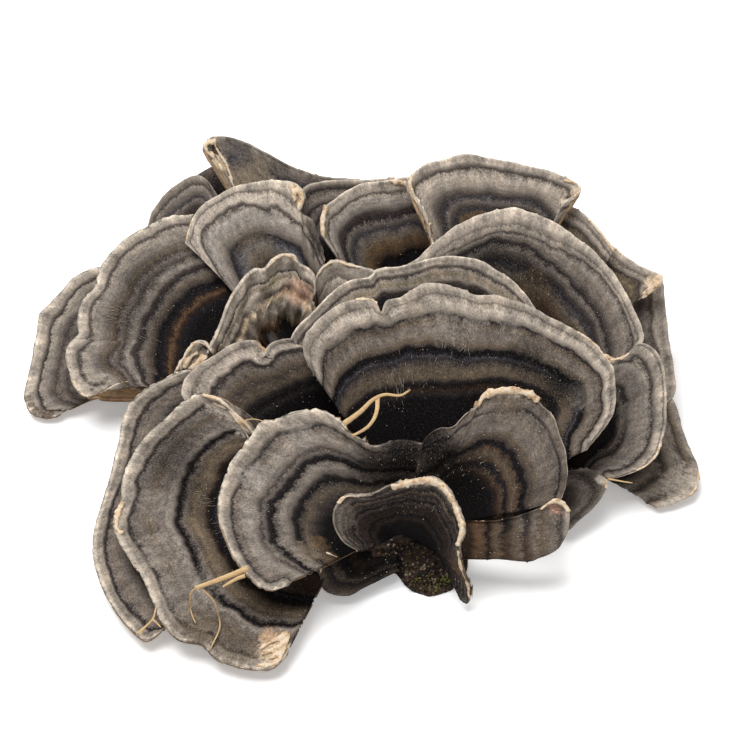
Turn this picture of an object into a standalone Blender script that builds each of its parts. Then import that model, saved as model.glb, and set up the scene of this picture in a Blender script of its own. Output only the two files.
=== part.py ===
"""A clump of turkey tail fungus: overlapping zoned caps on one tough base, cut flat underneath.

Lengths in the tables are millimetres and the scene is in metres. +Z is up, +X is to the right and
-Y is the front. The origin is on the flat cut under the base, where the clump rests.

Every cap is set out on one drawing of the clump, looked at from the front and above: a row
(across, up, height) says where a point stands on the drawing and how high it is over the table.
"""

import math

import bmesh
import bpy
from mathutils import Vector
from mathutils.bvhtree import BVHTree

MM = 0.001

# The drawing: its line of sight slopes down at 45 degrees, from an eye 700 mm away.
SIGHT_SLOPE = math.radians(45)
EYE_DISTANCE = 700.0
EYE_UP = 26.4
RIGHT = Vector((1, 0, 0))
UPWARD = Vector((0, math.sin(SIGHT_SLOPE), math.cos(SIGHT_SLOPE)))
TOWARDS = Vector((0, -math.cos(SIGHT_SLOPE), math.sin(SIGHT_SLOPE)))
EYE = UPWARD * EYE_UP + TOWARDS * EYE_DISTANCE

# A cap's flesh thins from its neck to its margin. A neck is a share of its cap's width.
NECK_THICK = 2.6
NECK_THICK_SHARE = 0.045
MARGIN_THICK = 0.9
NECK_WIDTH_SHARE = 0.3
ARCH = 2.0

# How finely a cap is built: the length of a side of its margin, and the rings from neck to margin.
SIDE_LENGTH = 7.0
FEWEST_SIDES = 8
RINGS = 4
CURVE_STEPS = 12

# Between one solid and the next.
GAP = 0.35

# Each cap: its root, the rim of its margin from left to right, how far its face arches, how wide
# its neck is, and how far its first and last edges bow inwards.
CAPS = {
    "cap_front_small": {
        "root": (8, -7, 9),
        "rim": [(-3.5, -8.8, 19), (-6.5, -7, 21), (-8.2, -3.5, 23), (-8, 0, 24.5), (-6, 2.3, 25.5),
                (-3, 2.4, 26), (0, 2.8, 26.5), (3, 4.4, 27), (6.5, 5.2, 27.5), (9.5, 5.4, 28),
                (12, 5.8, 28), (14.5, 3.8, 27), (16.3, 0.8, 25.5), (17.7, -2.2, 23.5),
                (18.2, -5.2, 21.5), (17.2, -7.8, 19), (17.1, -9.7, 16.5), (17.7, -12.5, 12.5),
                (18.6, -15.5, 8), (19, -18.3, 4), (18.2, -19.6, 2.8), (16.8, -18.3, 3)],
        "bow": (0, 1),
        "arch": 1.2,
    },
    "cap_front_fold": {
        "root": (12, -4, 11),
        "rim": [(36.2, 1.4, 18), (38.6, 0.2, 17), (38.9, -2.2, 15.5),
                (38.6, -4.8, 13.8), (37, -7.8, 12), (35, -9.4, 11), (33, -10.2, 10.2),
                (30.5, -11, 9.5), (25, -10.5, 9.5), (20, -10.4, 9.5), (17.5, -10, 10)],
        "arch": 0.6,
    },
    "cap_front_right": {
        "root": (12, -2, 9),
        "rim": [(9, 11.5, 23.5), (10.5, 14.3, 24.5), (13, 15.8, 25), (15.5, 16, 25.5),
                (18, 18.6, 27), (20.7, 20.3, 28), (21.6, 22.2, 29), (24.5, 23.5, 30),
                (28, 23.4, 29.5), (31.5, 22.4, 28.5), (33.5, 20.3, 27), (35.8, 18, 25.5),
                (37.2, 14, 23), (38.4, 10, 20.5), (38.6, 7, 18.5), (38.2, 4, 15.5),
                (37.2, 1.5, 14)],
    },
    "cap_front_left": {
        "root": (3, -3, 10),
        "rim": [(10, 12.3, 21.5), (5, 13.3, 23), (0, 12, 24), (-3, 13.7, 25.5), (-6, 15.5, 26.5),
                (-8.5, 18.2, 28), (-12, 19.4, 28.5), (-16, 18.8, 28), (-20, 17.4, 27),
                (-22.7, 16.8, 26.5), (-24.5, 14.2, 25.5), (-27, 11, 24.5), (-29.3, 7.3, 23.5),
                (-30.6, 3.5, 22.5), (-31.2, 0, 21.5), (-30.5, -4, 20.5), (-29, -8, 19),
                (-27.3, -11.2, 18), (-24.8, -14, 16.5), (-22.5, -16, 15.5), (-20, -16.4, 15),
                (-17.6, -15.3, 15)],
    },
    "cap_front_low": {
        "root": (2, -7, 7),
        "rim": [(-10.8, -9.5, 10), (-11, -13, 7), (-10, -16.2, 4.5), (-7.8, -17.4, 3.5),
                (-5, -17.5, 3), (-2.2, -15.9, 3), (0.8, -14.3, 3), (4, -12.8, 3.5)],
        "arch": 0.8,
    },
    "cap_right_small": {
        "root": (28, -1, 5.5),
        "rim": [(37.5, 7.3, 11), (41, 7.8, 11.5), (43.6, 7.5, 11), (45.8, 5.8, 10),
                (46.4, 4.2, 9), (45.2, 1.6, 7.5), (43.5, -0.5, 6.5), (41.2, -2.4, 5.5),
                (39, -4.6, 4.5)],
        "arch": 0.8,
    },
    "cap_left_front": {
        "root": (-9, 0, 9),
        "rim": [(-32, 22, 28), (-35, 22.6, 27.5), (-38.5, 20.6, 25.5), (-42, 17.3, 22.5), (-45.5, 14.2, 20),
                (-48.5, 9.8, 17.5), (-50.2, 5.5, 15.5), (-50.4, 2, 14), (-51.6, -1.5, 12.5),
                (-52, -4, 11.5), (-50.6, -7.5, 10.5), (-48, -11.5, 9.5), (-46, -14.7, 9),
                (-44.4, -18.5, 8), (-42.6, -22.5, 7), (-39.5, -26.2, 6), (-35, -27.3, 5.5),
                (-33.6, -28.3, 5), (-31.5, -30.2, 4.5), (-28, -31.6, 4), (-24, -32.4, 3.5),
                (-20.4, -32, 3.5), (-18, -29.8, 4)],
    },
    "cap_left_outer": {
        "root": (-16, 6, 6.5),
        "rim": [(-37, 27.4, 21.5), (-40, 26.6, 21), (-44.5, 24.3, 19.5), (-48.2, 21.4, 17),
                (-50, 18, 14.5), (-50.8, 14, 12.5), (-51.7, 10, 10.5), (-53, 5, 8.5),
                (-54.6, 0, 7), (-56, -5.5, 5.5), (-56, -10.5, 4.5), (-54.5, -15.5, 4.4),
                (-52.3, -19.8, 4), (-50, -23, 3.8), (-47.5, -25.5, 3.8), (-45.6, -26.6, 3.8),
                (-43, -25, 4)],
        "arch": 1.0,
    },
    "cap_centre": {
        "root": (12, 6, 10),
        "neck": 0.45,
        "rim": [(-12, 26.4, 24.5), (-14.2, 30.5, 27.6), (-14, 34.2, 30.5),
                (-11.8, 37, 32.5), (-9, 39.5, 34), (-6, 41, 35), (-3, 41.7, 35.5),
                (0, 41.3, 35.3), (1, 38.6, 34), (2.2, 41.2, 35.5), (5, 42, 36), (7.5, 43.6, 37),
                (10, 44.8, 37.5), (13, 44.8, 37.5), (17, 43.6, 37), (20.5, 42.4, 36.5),
                (24, 42.4, 36.5), (27.5, 41.3, 36), (31, 40.2, 35), (34.5, 38.2, 34),
                (37.5, 36.8, 33), (41, 34.8, 31.5), (44, 32.8, 30.5), (46, 30, 29),
                (47.8, 28, 28), (48.2, 24, 26), (48.1, 20, 24), (46.8, 17, 22.5),
                (44.8, 14.4, 21), (42.3, 11.4, 19.5)],
        "arch": 3.0,
    },
    "cap_centre_left": {
        "root": (-8, 14, 9),
        "rim": [(-37.6, 20.5, 20.5), (-38.6, 23, 22), (-37.8, 26, 23.5), (-35, 28.6, 24.5),
                (-31.8, 30.6, 25.5), (-29, 32.4, 26.5), (-26, 33.3, 27), (-23.5, 33, 26.5),
                (-22.3, 30, 25), (-21.3, 32.6, 26.3), (-18.5, 33.6, 27), (-15, 33.8, 27),
                (-12, 34.5, 27)],
    },
    "cap_centre_back": {
        "root": (12, 20, 7),
        "rim": [(-17, 33.5, 27.5), (-15.5, 36, 29), (-13, 38.5, 30), (-10, 41.6, 31.5),
                (-7, 44.2, 33), (-4, 45.5, 33.5), (-1, 46, 34), (0.2, 47.5, 34.8),
                (3.5, 47.9, 35), (8, 48.8, 35.5), (12, 49.9, 36), (17, 50, 36),
                (21, 49.3, 35.5), (24, 47.6, 34.5), (27.2, 45.5, 33), (30, 42.6, 31),
                (32, 40, 29.5), (33.4, 38, 28)],
        "arch": 1.5,
    },
    "cap_hairy": {
        "root": (-19, 30, 9),
        "rim": [(-33.6, 30.5, 21), (-32, 34, 23), (-30.7, 37.5, 25), (-29.6, 40.5, 27),
                (-28.2, 43.3, 28.5), (-26.2, 46, 30), (-24, 47.6, 31), (-22, 47.8, 31),
                (-20.3, 49.6, 32), (-18.3, 50.6, 32.5), (-16, 50.3, 32.5), (-14.9, 48.6, 31.5),
                (-13, 47.6, 31), (-11.8, 46, 30), (-11.5, 43, 28)],
        "arch": 1.0,
    },
    "cap_hairy_side": {
        "root": (-7, 30, 11),
        "rim": [(-12.2, 44.5, 27.5), (-11.8, 46.3, 28.5), (-10.2, 48.2, 30), (-8, 49.4, 31),
                (-6, 48.9, 31), (-3, 48, 31), (-1.3, 47.6, 31), (0.5, 47, 30.5)],
        "arch": 0.8,
    },
    "cap_left_fold": {
        "root": (-28, 22, 11),
        "rim": [(-40.3, 26.5, 18.5), (-39, 29, 20), (-37.5, 31.5, 21.5), (-35.8, 33.2, 22.5),
                (-34, 33.2, 22.5), (-32.8, 31.5, 22)],
        "arch": 0.8,
    },
    "cap_right": {
        "root": (34, 12, 7),
        "rim": [(42, 29, 22), (46, 30.4, 24), (49, 29.7, 24.5), (51.2, 31, 26),
                (53.2, 32.8, 27.5), (55.2, 32, 27), (56.8, 30.3, 26), (57.8, 27.5, 24.5),
                (58.2, 24, 22), (58.3, 20, 19.5), (57.9, 15.5, 16.5), (57, 12, 14.5),
                (55.7, 9.6, 13), (54, 8, 12), (51, 6.7, 11), (48, 5.9, 10), (45.5, 6, 9.5)],
    },
    "cap_right_dome": {
        "root": (27, 22, 8),
        "rim": [(6.5, 48.6, 28), (8.8, 50, 29.5), (12, 53.2, 32), (16, 56.2, 34.5),
                (20, 58.2, 36.5), (24, 59.4, 37.8), (28, 59.8, 38.3), (32, 58.6, 38),
                (36, 56.9, 37.3), (40, 54.1, 36), (44, 50.9, 34), (47, 47.6, 32),
                (50, 43.2, 29.5), (52, 39.2, 27.5), (53.4, 35.6, 25.5), (53.5, 32.8, 24),
                (51.5, 30, 22)],
        "arch": 2.5,
    },
    "cap_upper_right": {
        "root": (22, 32, 8),
        "rim": [(11.7, 51.5, 29.5), (11.2, 54, 31.5), (10, 57.5, 34.5), (8.4, 61, 37),
                (6.6, 64.3, 39.3), (7.6, 66.6, 40), (10, 68.4, 41), (14, 69.7, 42),
                (18, 70.6, 42.5), (22, 70.1, 42.3), (27, 69, 41.5), (32, 68, 41), (37, 66.4, 40),
                (40, 65.1, 39), (41.2, 63.4, 38)],
        "arch": 1.5,
    },
    "cap_upper_middle": {
        "root": (6, 36, 9),
        "rim": [(-10.8, 54.4, 31.5),
                (-10.9, 57, 33), (-10.2, 59.8, 34.5), (-8, 61.7, 35.5), (-5, 63.6, 36.5),
                (-3, 64.6, 37), (0, 65, 37.3), (3.5, 65.5, 37.5), (6, 66, 37.3), (10, 66, 36.5), (14, 64, 34.5)],
        "arch": 1.0,
    },
    "cap_upper_left": {
        "root": (-14, 27, 9),
        "rim": [(-38, 52.8, 30),
                (-37.2, 55.3, 31.5), (-36.6, 57.6, 33), (-34.6, 60.2, 35), (-31, 62.6, 37),
                (-27, 64.4, 38.5), (-23, 65.1, 39), (-20, 65.4, 39.3), (-17, 65.1, 39),
                (-15, 64.1, 38.5), (-14.2, 62.3, 37), (-15.4, 60, 35), (-14.2, 58.4, 33),
                (-12.2, 57, 30.5), (-11, 53.5, 27.5), (-10, 50, 25)],
    },
    "cap_right_back": {
        "root": (32, 31, 7),
        "rim": [(34.5, 60.3, 33), (37, 60.6, 33.3), (40, 59.8, 33.3), (43, 57.4, 32),
                (45.6, 54.4, 30.5), (47.8, 51.4, 29)],
        "arch": 1.0,
    },
    "cap_right_back_low": {
        "root": (33, 29, 6),
        "rim": [(46, 52.5, 26), (48, 51.8, 26), (50.2, 50.2, 25.5), (53, 48.3, 24.5),
                (55.5, 47.2, 24), (57.2, 46.3, 23.5), (57.4, 45.4, 23), (55.8, 43.8, 21.5),
                (54, 42.2, 20)],
        "arch": 1.0,
    },
    "cap_right_strip": {
        "root": (36, 22, 5),
        "rim": [(56, 46, 18), (57.6, 45, 18), (57.9, 42, 16.5), (58.3, 38, 14.5),
                (58.9, 33, 12.5), (59.8, 28, 11), (60.1, 25, 10), (59.8, 22.5, 9.5),
                (58.6, 21, 9)],
        "arch": 1.0,
    },
    "cap_right_low": {
        "root": (38, 15, 4),
        "rim": [(57, 25, 10), (59.5, 21.5, 8.5), (60.4, 19.8, 8), (61.3, 16.5, 7),
                (62.3, 13.5, 6), (63.7, 10.6, 5), (64.7, 8, 4), (64.8, 5, 3.2), (63.8, 2.8, 2.6),
                (61, 1.2, 2.2), (58, 0.1, 2), (56.3, -0.2, 2)],
        "arch": 0.8,
    },
    "cap_far_left": {
        "root": (-25, 25, 9),
        "rim": [(-36.5, 58.2, 30.5), (-40, 58, 31), (-42, 57.6, 31), (-45, 56.2, 30),
                (-48, 54.6, 28.5), (-50, 53.2, 27.5), (-52, 51.2, 26), (-54.2, 48.5, 24),
                (-55.2, 46, 22.5), (-55.8, 43.9, 21), (-57.4, 42.2, 20), (-58.7, 40, 18.5),
                (-59.2, 37, 17), (-58.9, 34.6, 16), (-60, 33.4, 15.5), (-61.3, 31.8, 14.8),
                (-61.5, 29.5, 13.8), (-60.8, 26.6, 12.6), (-59.7, 23.6, 11.6),
                (-58.2, 21.9, 11), (-56.2, 21.9, 11), (-53.8, 23, 11.2)],
    },
    "cap_far_left_under": {
        "root": (-33, 25, 5),
        "rim": [(-58.6, 23.8, 8.4), (-57.6, 21.6, 8), (-55, 20.8, 7.7), (-51, 20.6, 7.5),
                (-47, 20.8, 7.4), (-43, 21.2, 7.2)],
        "arch": 0.5,
    },
    "cap_far_left_outer": {
        "root": (-33, 28, 4.5),
        "bow": (0, 3),
        "rim": [(-52, 47.5, 17), (-55, 47.8, 17), (-57.6, 47.1, 16.5), (-60, 45.8, 15.5),
                (-62.2, 43.4, 14), (-65, 40.4, 12), (-66.9, 38.4, 10.5), (-67.3, 35, 8.5),
                (-67.9, 32, 7), (-68.6, 28, 5), (-69.6, 23.6, 3.3), (-69.9, 21.5, 2.8),
                (-68.6, 19, 2.3), (-66, 18, 2), (-64, 18.2, 2.1)],
        "arch": 1.0,
    },
    "cap_top": {
        "root": (-12, 33, 7),
        "rim": [(-34, 71.4, 41),
                (-34.2, 72.6, 41.7), (-32.8, 73.9, 42.5), (-30, 74.1, 42.7), (-27, 73.4, 42.3),
                (-22, 71, 41), (-17, 68.4, 39.3), (-12, 66.5, 38), (-8, 65.7, 37),
                (-3, 65.6, 36.7)],
        "arch": 1.0,
    },
    "cap_upper_far_left": {
        "root": (-28, 32, 9),
        "rim": [(-45.5, 56, 26.5), (-44.9, 58.5, 28), (-43.8, 60.5, 29), (-42, 62.6, 30.3),
                (-40, 64.4, 31.5), (-37, 66.1, 32.8), (-35, 66.3, 33), (-33.4, 65.2, 32.5),
                (-32, 63.2, 31.5), (-30, 60, 29.5)],
        "arch": 1.0,
    },
    "cap_upper_left_back": {
        "root": (-24, 33, 7),
        "rim": [(-37, 65.5, 30.5), (-34.5, 67.2, 31.8), (-31, 68.8, 33), (-28, 69, 33.3),
                (-25, 68, 33), (-22, 66, 32)],
        "arch": 0.8,
    },
    "cap_upper_middle_back": {
        "root": (-6, 33, 8),
        "rim": [(-16, 59, 29), (-15.5, 62, 32), (-14.5, 64.2, 34), (-12, 65.2, 35),
                (-8, 65.1, 35), (-4, 65.2, 35), (0, 65.4, 35), (4, 65.8, 35)],
        "arch": 0.8,
    },
    "cap_behind_left": {
        "root": (-24, 24.7, 5),
        "rim": [(-50, 35.4, 10), (-46, 43.8, 12), (-38, 50.9, 14), (-28, 53, 15),
                (-20, 51.6, 15), (-14, 47, 13)],
        "arch": 2.0,
    },
    "cap_behind_middle": {
        "root": (3, 28.3, 6),
        "rim": [(-14, 50.9, 14), (-6, 55.9, 16), (4, 57.3, 17), (14, 55.2, 16), (20, 49.5, 14)],
        "arch": 2.0,
    },
    "cap_behind_right": {
        "root": (28, 25.1, 5.5),
        "rim": [(24, 50.9, 14), (32, 50.2, 14), (42, 44.5, 13), (48, 36, 11), (50, 27.6, 9)],
        "arch": 2.0,
    },
}

# The lumps of flesh that make the base: centre and half sizes.
BASE_LUMPS = [
    ((11, -14, 2), (8, 10.5, 8)),
    ((-2, -8, 3), (14, 12, 11)),
    ((14, 2, 3), (22, 16, 9)),
    ((-16, 18, 3), (22, 18, 12)),
    ((24, 18, 2), (17, 18, 10)),
    ((4, 31, 3), (24, 15, 11)),
    ((20, 34, 2), (18, 12, 10)),
    ((-22, 28, 2), (19, 14, 10)),
]

# Dry grass caught on the caps: its line on the drawing and over the table, and its width.
GRASS = {
    "grass_blade_centre": {
        "line": [(-6.3, 16.6, 28.6), (-3, 19, 28.6), (-0.5, 21.4, 28.6), (2, 22.5, 28.6),
                 (5, 22.3, 28.6), (7, 23.4, 28.6)],
        "width": 1.1,
    },
    "grass_blade_left": {
        "line": [(-25.4, -12.2, 19), (-28, -13.3, 18.6), (-32, -14.8, 17.6), (-36, -16.2, 16.4)],
        "width": 1.1,
    },
}
GRASS_THICK = 0.5
GRASS_PIECES = 6
GRASS_TIP_SHARE = 0.4

# Colours as linear values, with a roughness.
CAP_FINISH = ((0.135, 0.115, 0.1, 1), 0.9)
BASE_FINISH = ((0.05, 0.045, 0.03, 1), 0.95)
GRASS_FINISH = ((0.55, 0.4, 0.2, 1), 0.7)


def seen_at(across, up, height):
    """The point at this height that the drawing shows at (across, up)."""
    drawn = across * RIGHT + up * UPWARD
    share = (height - EYE.z) / (drawn.z - EYE.z)
    return EYE + (drawn - EYE) * share


def curve_through(points, count):
    """count + 1 points, evenly spaced along the smooth curve through the given ones."""
    fine = []
    ends = [points[0] * 2 - points[1]] + points + [points[-1] * 2 - points[-2]]
    for a, b, c, d in zip(ends, ends[1:], ends[2:], ends[3:]):
        for step in range(CURVE_STEPS):
            t = step / CURVE_STEPS
            fine.append(0.5 * (2 * b + (c - a) * t + (2 * a - 5 * b + 4 * c - d) * t * t
                               + (3 * b - a - 3 * c + d) * t * t * t))
    fine.append(points[-1])
    lengths = [0.0]
    for a, b in zip(fine, fine[1:]):
        lengths.append(lengths[-1] + (b - a).length)
    spaced = []
    k = 0
    for i in range(count + 1):
        wanted = lengths[-1] * i / count
        while k < len(fine) - 2 and lengths[k + 1] < wanted:
            k += 1
        share = (wanted - lengths[k]) / (lengths[k + 1] - lengths[k])
        spaced.append(fine[k].lerp(fine[k + 1], min(1.0, share)))
    return spaced


def calmed(points, passes):
    """The same row of points with its small turns evened out and its ends kept."""
    for _ in range(passes):
        middle = [(a + 2 * b + c) / 4 for a, b, c in zip(points, points[1:], points[2:])]
        points = [points[0]] + middle + [points[-1]]
    return points


def cap_facing(root, rim):
    """The mean direction that the cap's upper face looks in."""
    total = Vector()
    for a, b in zip(rim, rim[1:]):
        total += (a - root).cross(b - root)
    total.normalize()
    return total if total.z > total.y else -total


def cap_sheet(cap, sides):
    """Rows of points over the cap's upper face, from its neck out to its margin."""
    root = seen_at(*cap["root"])
    rim = curve_through([seen_at(*p) for p in cap["rim"]], sides)
    calm = calmed(rim, sides // 3)
    facing = cap_facing(root, rim)
    arch = cap.get("arch", ARCH)
    neck = (rim[-1] - rim[0]) * cap.get("neck", NECK_WIDTH_SHARE)
    bow = cap.get("bow", (0, 0))
    middle = rim[sides // 2] - root
    inward = [facing.cross(end - root).normalized() for end in (rim[0], rim[-1])]
    inward = [way if way.dot(middle) > 0 else -way for way in inward]
    rows = []
    for ring in range(RINGS + 1):
        v = ring / RINGS
        lift = facing * arch * math.sin(math.pi * v ** 1.6)
        swing = math.sin(math.pi * v)
        row = []
        for side, (edge, even) in enumerate(zip(rim, calm)):
            u = side / sides
            start = root + neck * (u - 0.5)
            bend = inward[0] * bow[0] * max(0, 1 - 3 * u) + inward[1] * bow[1] * max(0, 3 * u - 2)
            row.append(start.lerp(even, v) + (edge - even) * v ** 3 + lift + bend * swing)
        rows.append(row)
    return rows, facing


def steps_at(rows, ring, side):
    """The unit steps outwards and along the rim at one point of the sheet."""
    out = rows[min(ring + 1, len(rows) - 1)][side] - rows[max(ring - 1, 0)][side]
    along = rows[ring][min(side + 1, len(rows[ring]) - 1)] - rows[ring][max(side - 1, 0)]
    return out.normalized(), along.normalized()


def sheet_points(cap, sides, neck_thick, grow):
    """For each (side, ring), the point on the upper face and the one under it, grown all round."""
    rows, facing = cap_sheet(cap, sides)
    out, along = steps_at(rows, RINGS - 1, sides // 2)
    turn = 1 if out.cross(along).dot(facing) > 0 else -1
    points = {}
    for ring in range(RINGS + 1):
        thick = MARGIN_THICK + (neck_thick - MARGIN_THICK) * (1 - ring / RINGS)
        for side in range(sides + 1):
            out, along = steps_at(rows, ring, side)
            steep = out.cross(along).normalized() * turn
            normal = facing.lerp(steep, 0.5 * ring / RINGS).normalized()
            point = rows[ring][side] + out * grow * ((ring == RINGS) - (ring == 0))
            point += along * grow * ((side == sides) - (side == 0))
            points[side, ring] = (point + normal * grow, point - normal * (thick + grow))
    return points


def cap_mesh(name, cap, grow=0.0):
    """The cap as a closed shell: its upper face, extruded down by the flesh."""
    rim = [seen_at(*p) for p in cap["rim"]]
    length = sum((b - a).length for a, b in zip(rim, rim[1:]))
    sides = max(FEWEST_SIDES, round(length / SIDE_LENGTH))
    neck_thick = min(NECK_THICK, NECK_THICK_SHARE * length)
    points = sheet_points(cap, sides, neck_thick, grow)
    bm = bmesh.new()
    bmesh.ops.create_grid(bm, x_segments=sides, y_segments=RINGS, size=0.5)
    extruded = bmesh.ops.extrude_face_region(bm, geom=bm.faces[:])["geom"]
    lower = {g for g in extruded if isinstance(g, bmesh.types.BMVert)}
    for vert in bm.verts:
        side = round((vert.co.x + 0.5) * sides)
        ring = round((vert.co.y + 0.5) * RINGS)
        vert.co = points[side, ring][vert in lower] * MM
    bmesh.ops.triangulate(bm, faces=bm.faces[:], quad_method="FIXED")
    return closed_mesh(name, bm)


def grass_mesh(name, blade):
    """A flat blade: a bar along its line, narrowing to its tip."""
    line = curve_through([seen_at(*p) for p in blade["line"]], GRASS_PIECES)
    bm = bmesh.new()
    bmesh.ops.create_cube(bm, size=1)
    lengthwise = [e for e in bm.edges if abs(e.verts[0].co.x - e.verts[1].co.x) > 0.5]
    bmesh.ops.subdivide_edges(bm, edges=lengthwise, cuts=GRASS_PIECES - 1)
    for vert in bm.verts:
        k = round((vert.co.x + 0.5) * GRASS_PIECES)
        ahead = (line[min(k + 1, GRASS_PIECES)] - line[max(k - 1, 0)]).normalized()
        across = ahead.cross(TOWARDS).normalized()
        up = across.cross(ahead)
        width = blade["width"] * (1 - (1 - GRASS_TIP_SHARE) * k / GRASS_PIECES)
        vert.co = (line[k] + across * vert.co.y * width + up * vert.co.z * GRASS_THICK) * MM
    return closed_mesh(name, bm)


def base_mesh(name, grow=0.0):
    """The lumps joined in one body, cut flat where it rests."""
    whole = None
    for centre, half in BASE_LUMPS:
        bm = bmesh.new()
        bmesh.ops.create_icosphere(bm, subdivisions=2, radius=1)
        bmesh.ops.scale(bm, vec=[(h + grow) * MM for h in half], verts=bm.verts)
        bmesh.ops.translate(bm, vec=[c * MM for c in centre], verts=bm.verts)
        lump = add_object("lump", closed_mesh("lump", bm))
        if whole is None:
            whole = lump
        else:
            apply_boolean(whole, lump, "UNION")
            bpy.data.objects.remove(lump)
    bm = bmesh.new()
    bm.from_mesh(whole.data)
    bpy.data.objects.remove(whole)
    cut = bmesh.ops.bisect_plane(bm, geom=bm.verts[:] + bm.edges[:] + bm.faces[:],
                                 plane_co=(0, 0, -grow * MM), plane_no=(0, 0, -1), clear_outer=True)
    border = [g for g in cut["geom_cut"] if isinstance(g, bmesh.types.BMEdge)]
    bmesh.ops.contextual_create(bm, geom=border)
    return closed_mesh(name, bm)


def closed_mesh(name, bm):
    """The bmesh as a mesh with its faces pointing out."""
    if bm.calc_volume(signed=True) < 0:
        bmesh.ops.reverse_faces(bm, faces=bm.faces[:])
    mesh = bpy.data.meshes.new(name)
    bm.to_mesh(mesh)
    bm.free()
    return mesh


def add_object(name, mesh):
    obj = bpy.data.objects.new(name, mesh)
    bpy.context.scene.collection.objects.link(obj)
    return obj


def apply_boolean(obj, other, operation):
    """Joins or cuts obj with the other object, which is kept."""
    modifier = obj.modifiers.new(operation.title(), "BOOLEAN")
    modifier.operation = operation
    modifier.solver = "EXACT"
    modifier.use_self = True
    modifier.object = other
    view = bpy.context.evaluated_depsgraph_get()
    made = bpy.data.meshes.new_from_object(obj.evaluated_get(view))
    obj.modifiers.clear()
    obj.data = made


def keep_largest_piece(obj):
    """Drops the crumbs that a cut leaves beside the main piece."""
    bm = bmesh.new()
    bm.from_mesh(obj.data)
    left = set(bm.verts)
    pieces = []
    while left:
        piece = set()
        reached = [left.pop()]
        while reached:
            vert = reached.pop()
            piece.add(vert)
            beside = [edge.other_vert(vert) for edge in vert.link_edges]
            fresh = [other for other in beside if other in left]
            left.difference_update(fresh)
            reached.extend(fresh)
        pieces.append(piece)
    pieces.sort(key=len)
    for piece in pieces[:-1]:
        bmesh.ops.delete(bm, geom=list(piece), context="VERTS")
    bm.to_mesh(obj.data)
    bm.free()


def touches(obj, other):
    trees = [BVHTree.FromPolygons([v.co for v in o.data.vertices], [p.vertices for p in o.data.polygons])
             for o in (obj, other)]
    return bool(trees[0].overlap(trees[1]))


def finish(obj, colour, roughness):
    """Gives the object a material of its own."""
    material = bpy.data.materials.new(obj.name)
    material.use_nodes = True
    shader = material.node_tree.nodes["Principled BSDF"]
    shader.inputs["Base Color"].default_value = colour
    shader.inputs["Roughness"].default_value = roughness
    shader.inputs["Metallic"].default_value = 0.0
    obj.data.materials.clear()
    obj.data.materials.append(material)


def add_clearance(name, mesh):
    """A grown copy that keeps later solids a gap away."""
    cutter = add_object(name + "_clearance", mesh)
    cutter.hide_render = True
    cutter.display_type = "WIRE"
    return cutter


def build():
    for obj in list(bpy.data.objects):
        bpy.data.objects.remove(obj)
    finish(add_object("base", base_mesh("base")), *BASE_FINISH)
    cutters = [add_clearance("base", base_mesh("base", GAP))]
    for name, cap in CAPS.items():
        obj = add_object(name, cap_mesh(name, cap))
        for cutter in cutters:
            if touches(obj, cutter):
                apply_boolean(obj, cutter, "DIFFERENCE")
                keep_largest_piece(obj)
        finish(obj, *CAP_FINISH)
        cutters.append(add_clearance(name, cap_mesh(name, cap, GAP)))
    for name, blade in GRASS.items():
        finish(add_object(name, grass_mesh(name, blade)), *GRASS_FINISH)


build()
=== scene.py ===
import math
import random

import bmesh
import bpy
import numpy as np
from mathutils import Matrix, Vector, noise
from mathutils.bvhtree import BVHTree


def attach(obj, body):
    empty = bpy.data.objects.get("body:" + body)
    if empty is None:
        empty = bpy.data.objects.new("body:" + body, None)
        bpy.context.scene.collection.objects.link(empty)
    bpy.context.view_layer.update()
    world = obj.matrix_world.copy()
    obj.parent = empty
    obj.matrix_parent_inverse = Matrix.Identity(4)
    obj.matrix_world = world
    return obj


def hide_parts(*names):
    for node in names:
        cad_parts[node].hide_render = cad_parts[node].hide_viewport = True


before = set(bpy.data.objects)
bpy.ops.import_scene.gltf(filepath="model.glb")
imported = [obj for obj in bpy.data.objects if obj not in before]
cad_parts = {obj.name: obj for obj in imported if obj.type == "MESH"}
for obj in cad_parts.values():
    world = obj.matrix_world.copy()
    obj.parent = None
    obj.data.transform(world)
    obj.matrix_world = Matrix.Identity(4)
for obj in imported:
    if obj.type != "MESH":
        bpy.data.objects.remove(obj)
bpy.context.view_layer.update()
print("frame loaded:", len(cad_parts), "nodes")

mm = 0.001
drawingWidth = 150.0      # all that the camera sees, from side to side
eyeDistance = 700.0       # from the drawing to the camera
eyeUp = 26.4              # how far up the drawing the camera points
slope = math.radians(45)
rightWay = Vector((1, 0, 0))
upWay = Vector((0, math.sin(slope), math.cos(slope)))
towardsEye = Vector((0, -math.cos(slope), math.sin(slope)))
eye = upWay * eyeUp + towardsEye * eyeDistance

# Colours of the bands, as they look in daylight (red, green, blue out of 255).
shades = {
    "ivory": (222, 210, 194),
    "cream": (200, 188, 174),
    "paleTan": (180, 169, 157),
    "tan": (154, 144, 133),
    "paleGrey": (157, 149, 142),
    "grey": (136, 128, 120),
    "mid": (111, 103, 97),
    "brownGrey": (98, 87, 75),
    "dark": (73, 66, 63),
    "slate": (66, 64, 69),
    "charcoal": (48, 44, 45),
    "blueBlack": (34, 33, 38),
    "black": (22, 20, 22),
    "blueGrey": (101, 100, 103),
    "ochreTan": (142, 129, 111),
    "ochreGrey": (116, 103, 87),
    "ochre": (110, 90, 68),
    "brown": (86, 70, 57),
    "umber": (98, 76, 58),
    "taupe": (118, 108, 99),
    # This buff has the hue of the real underside but is far paler: painted light, for a piece that
    # lies in shade under another cap.
    "buff": (255, 226, 188),
    "darkBrown": (55, 43, 35),
    "rust": (158, 116, 84),
    "redBrown": (200, 156, 134),
    "moss": (84, 88, 44),
    "butter": (228, 206, 176),
    "biscuit": (190, 158, 126),
    "sprout": (150, 152, 70),
    "straw": (214, 184, 136),
}
screenGamma = 2.2
paletteGain = 0.88        # the studio light is strong, so all colours go a little darker
paletteContrast = 1.1


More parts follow.
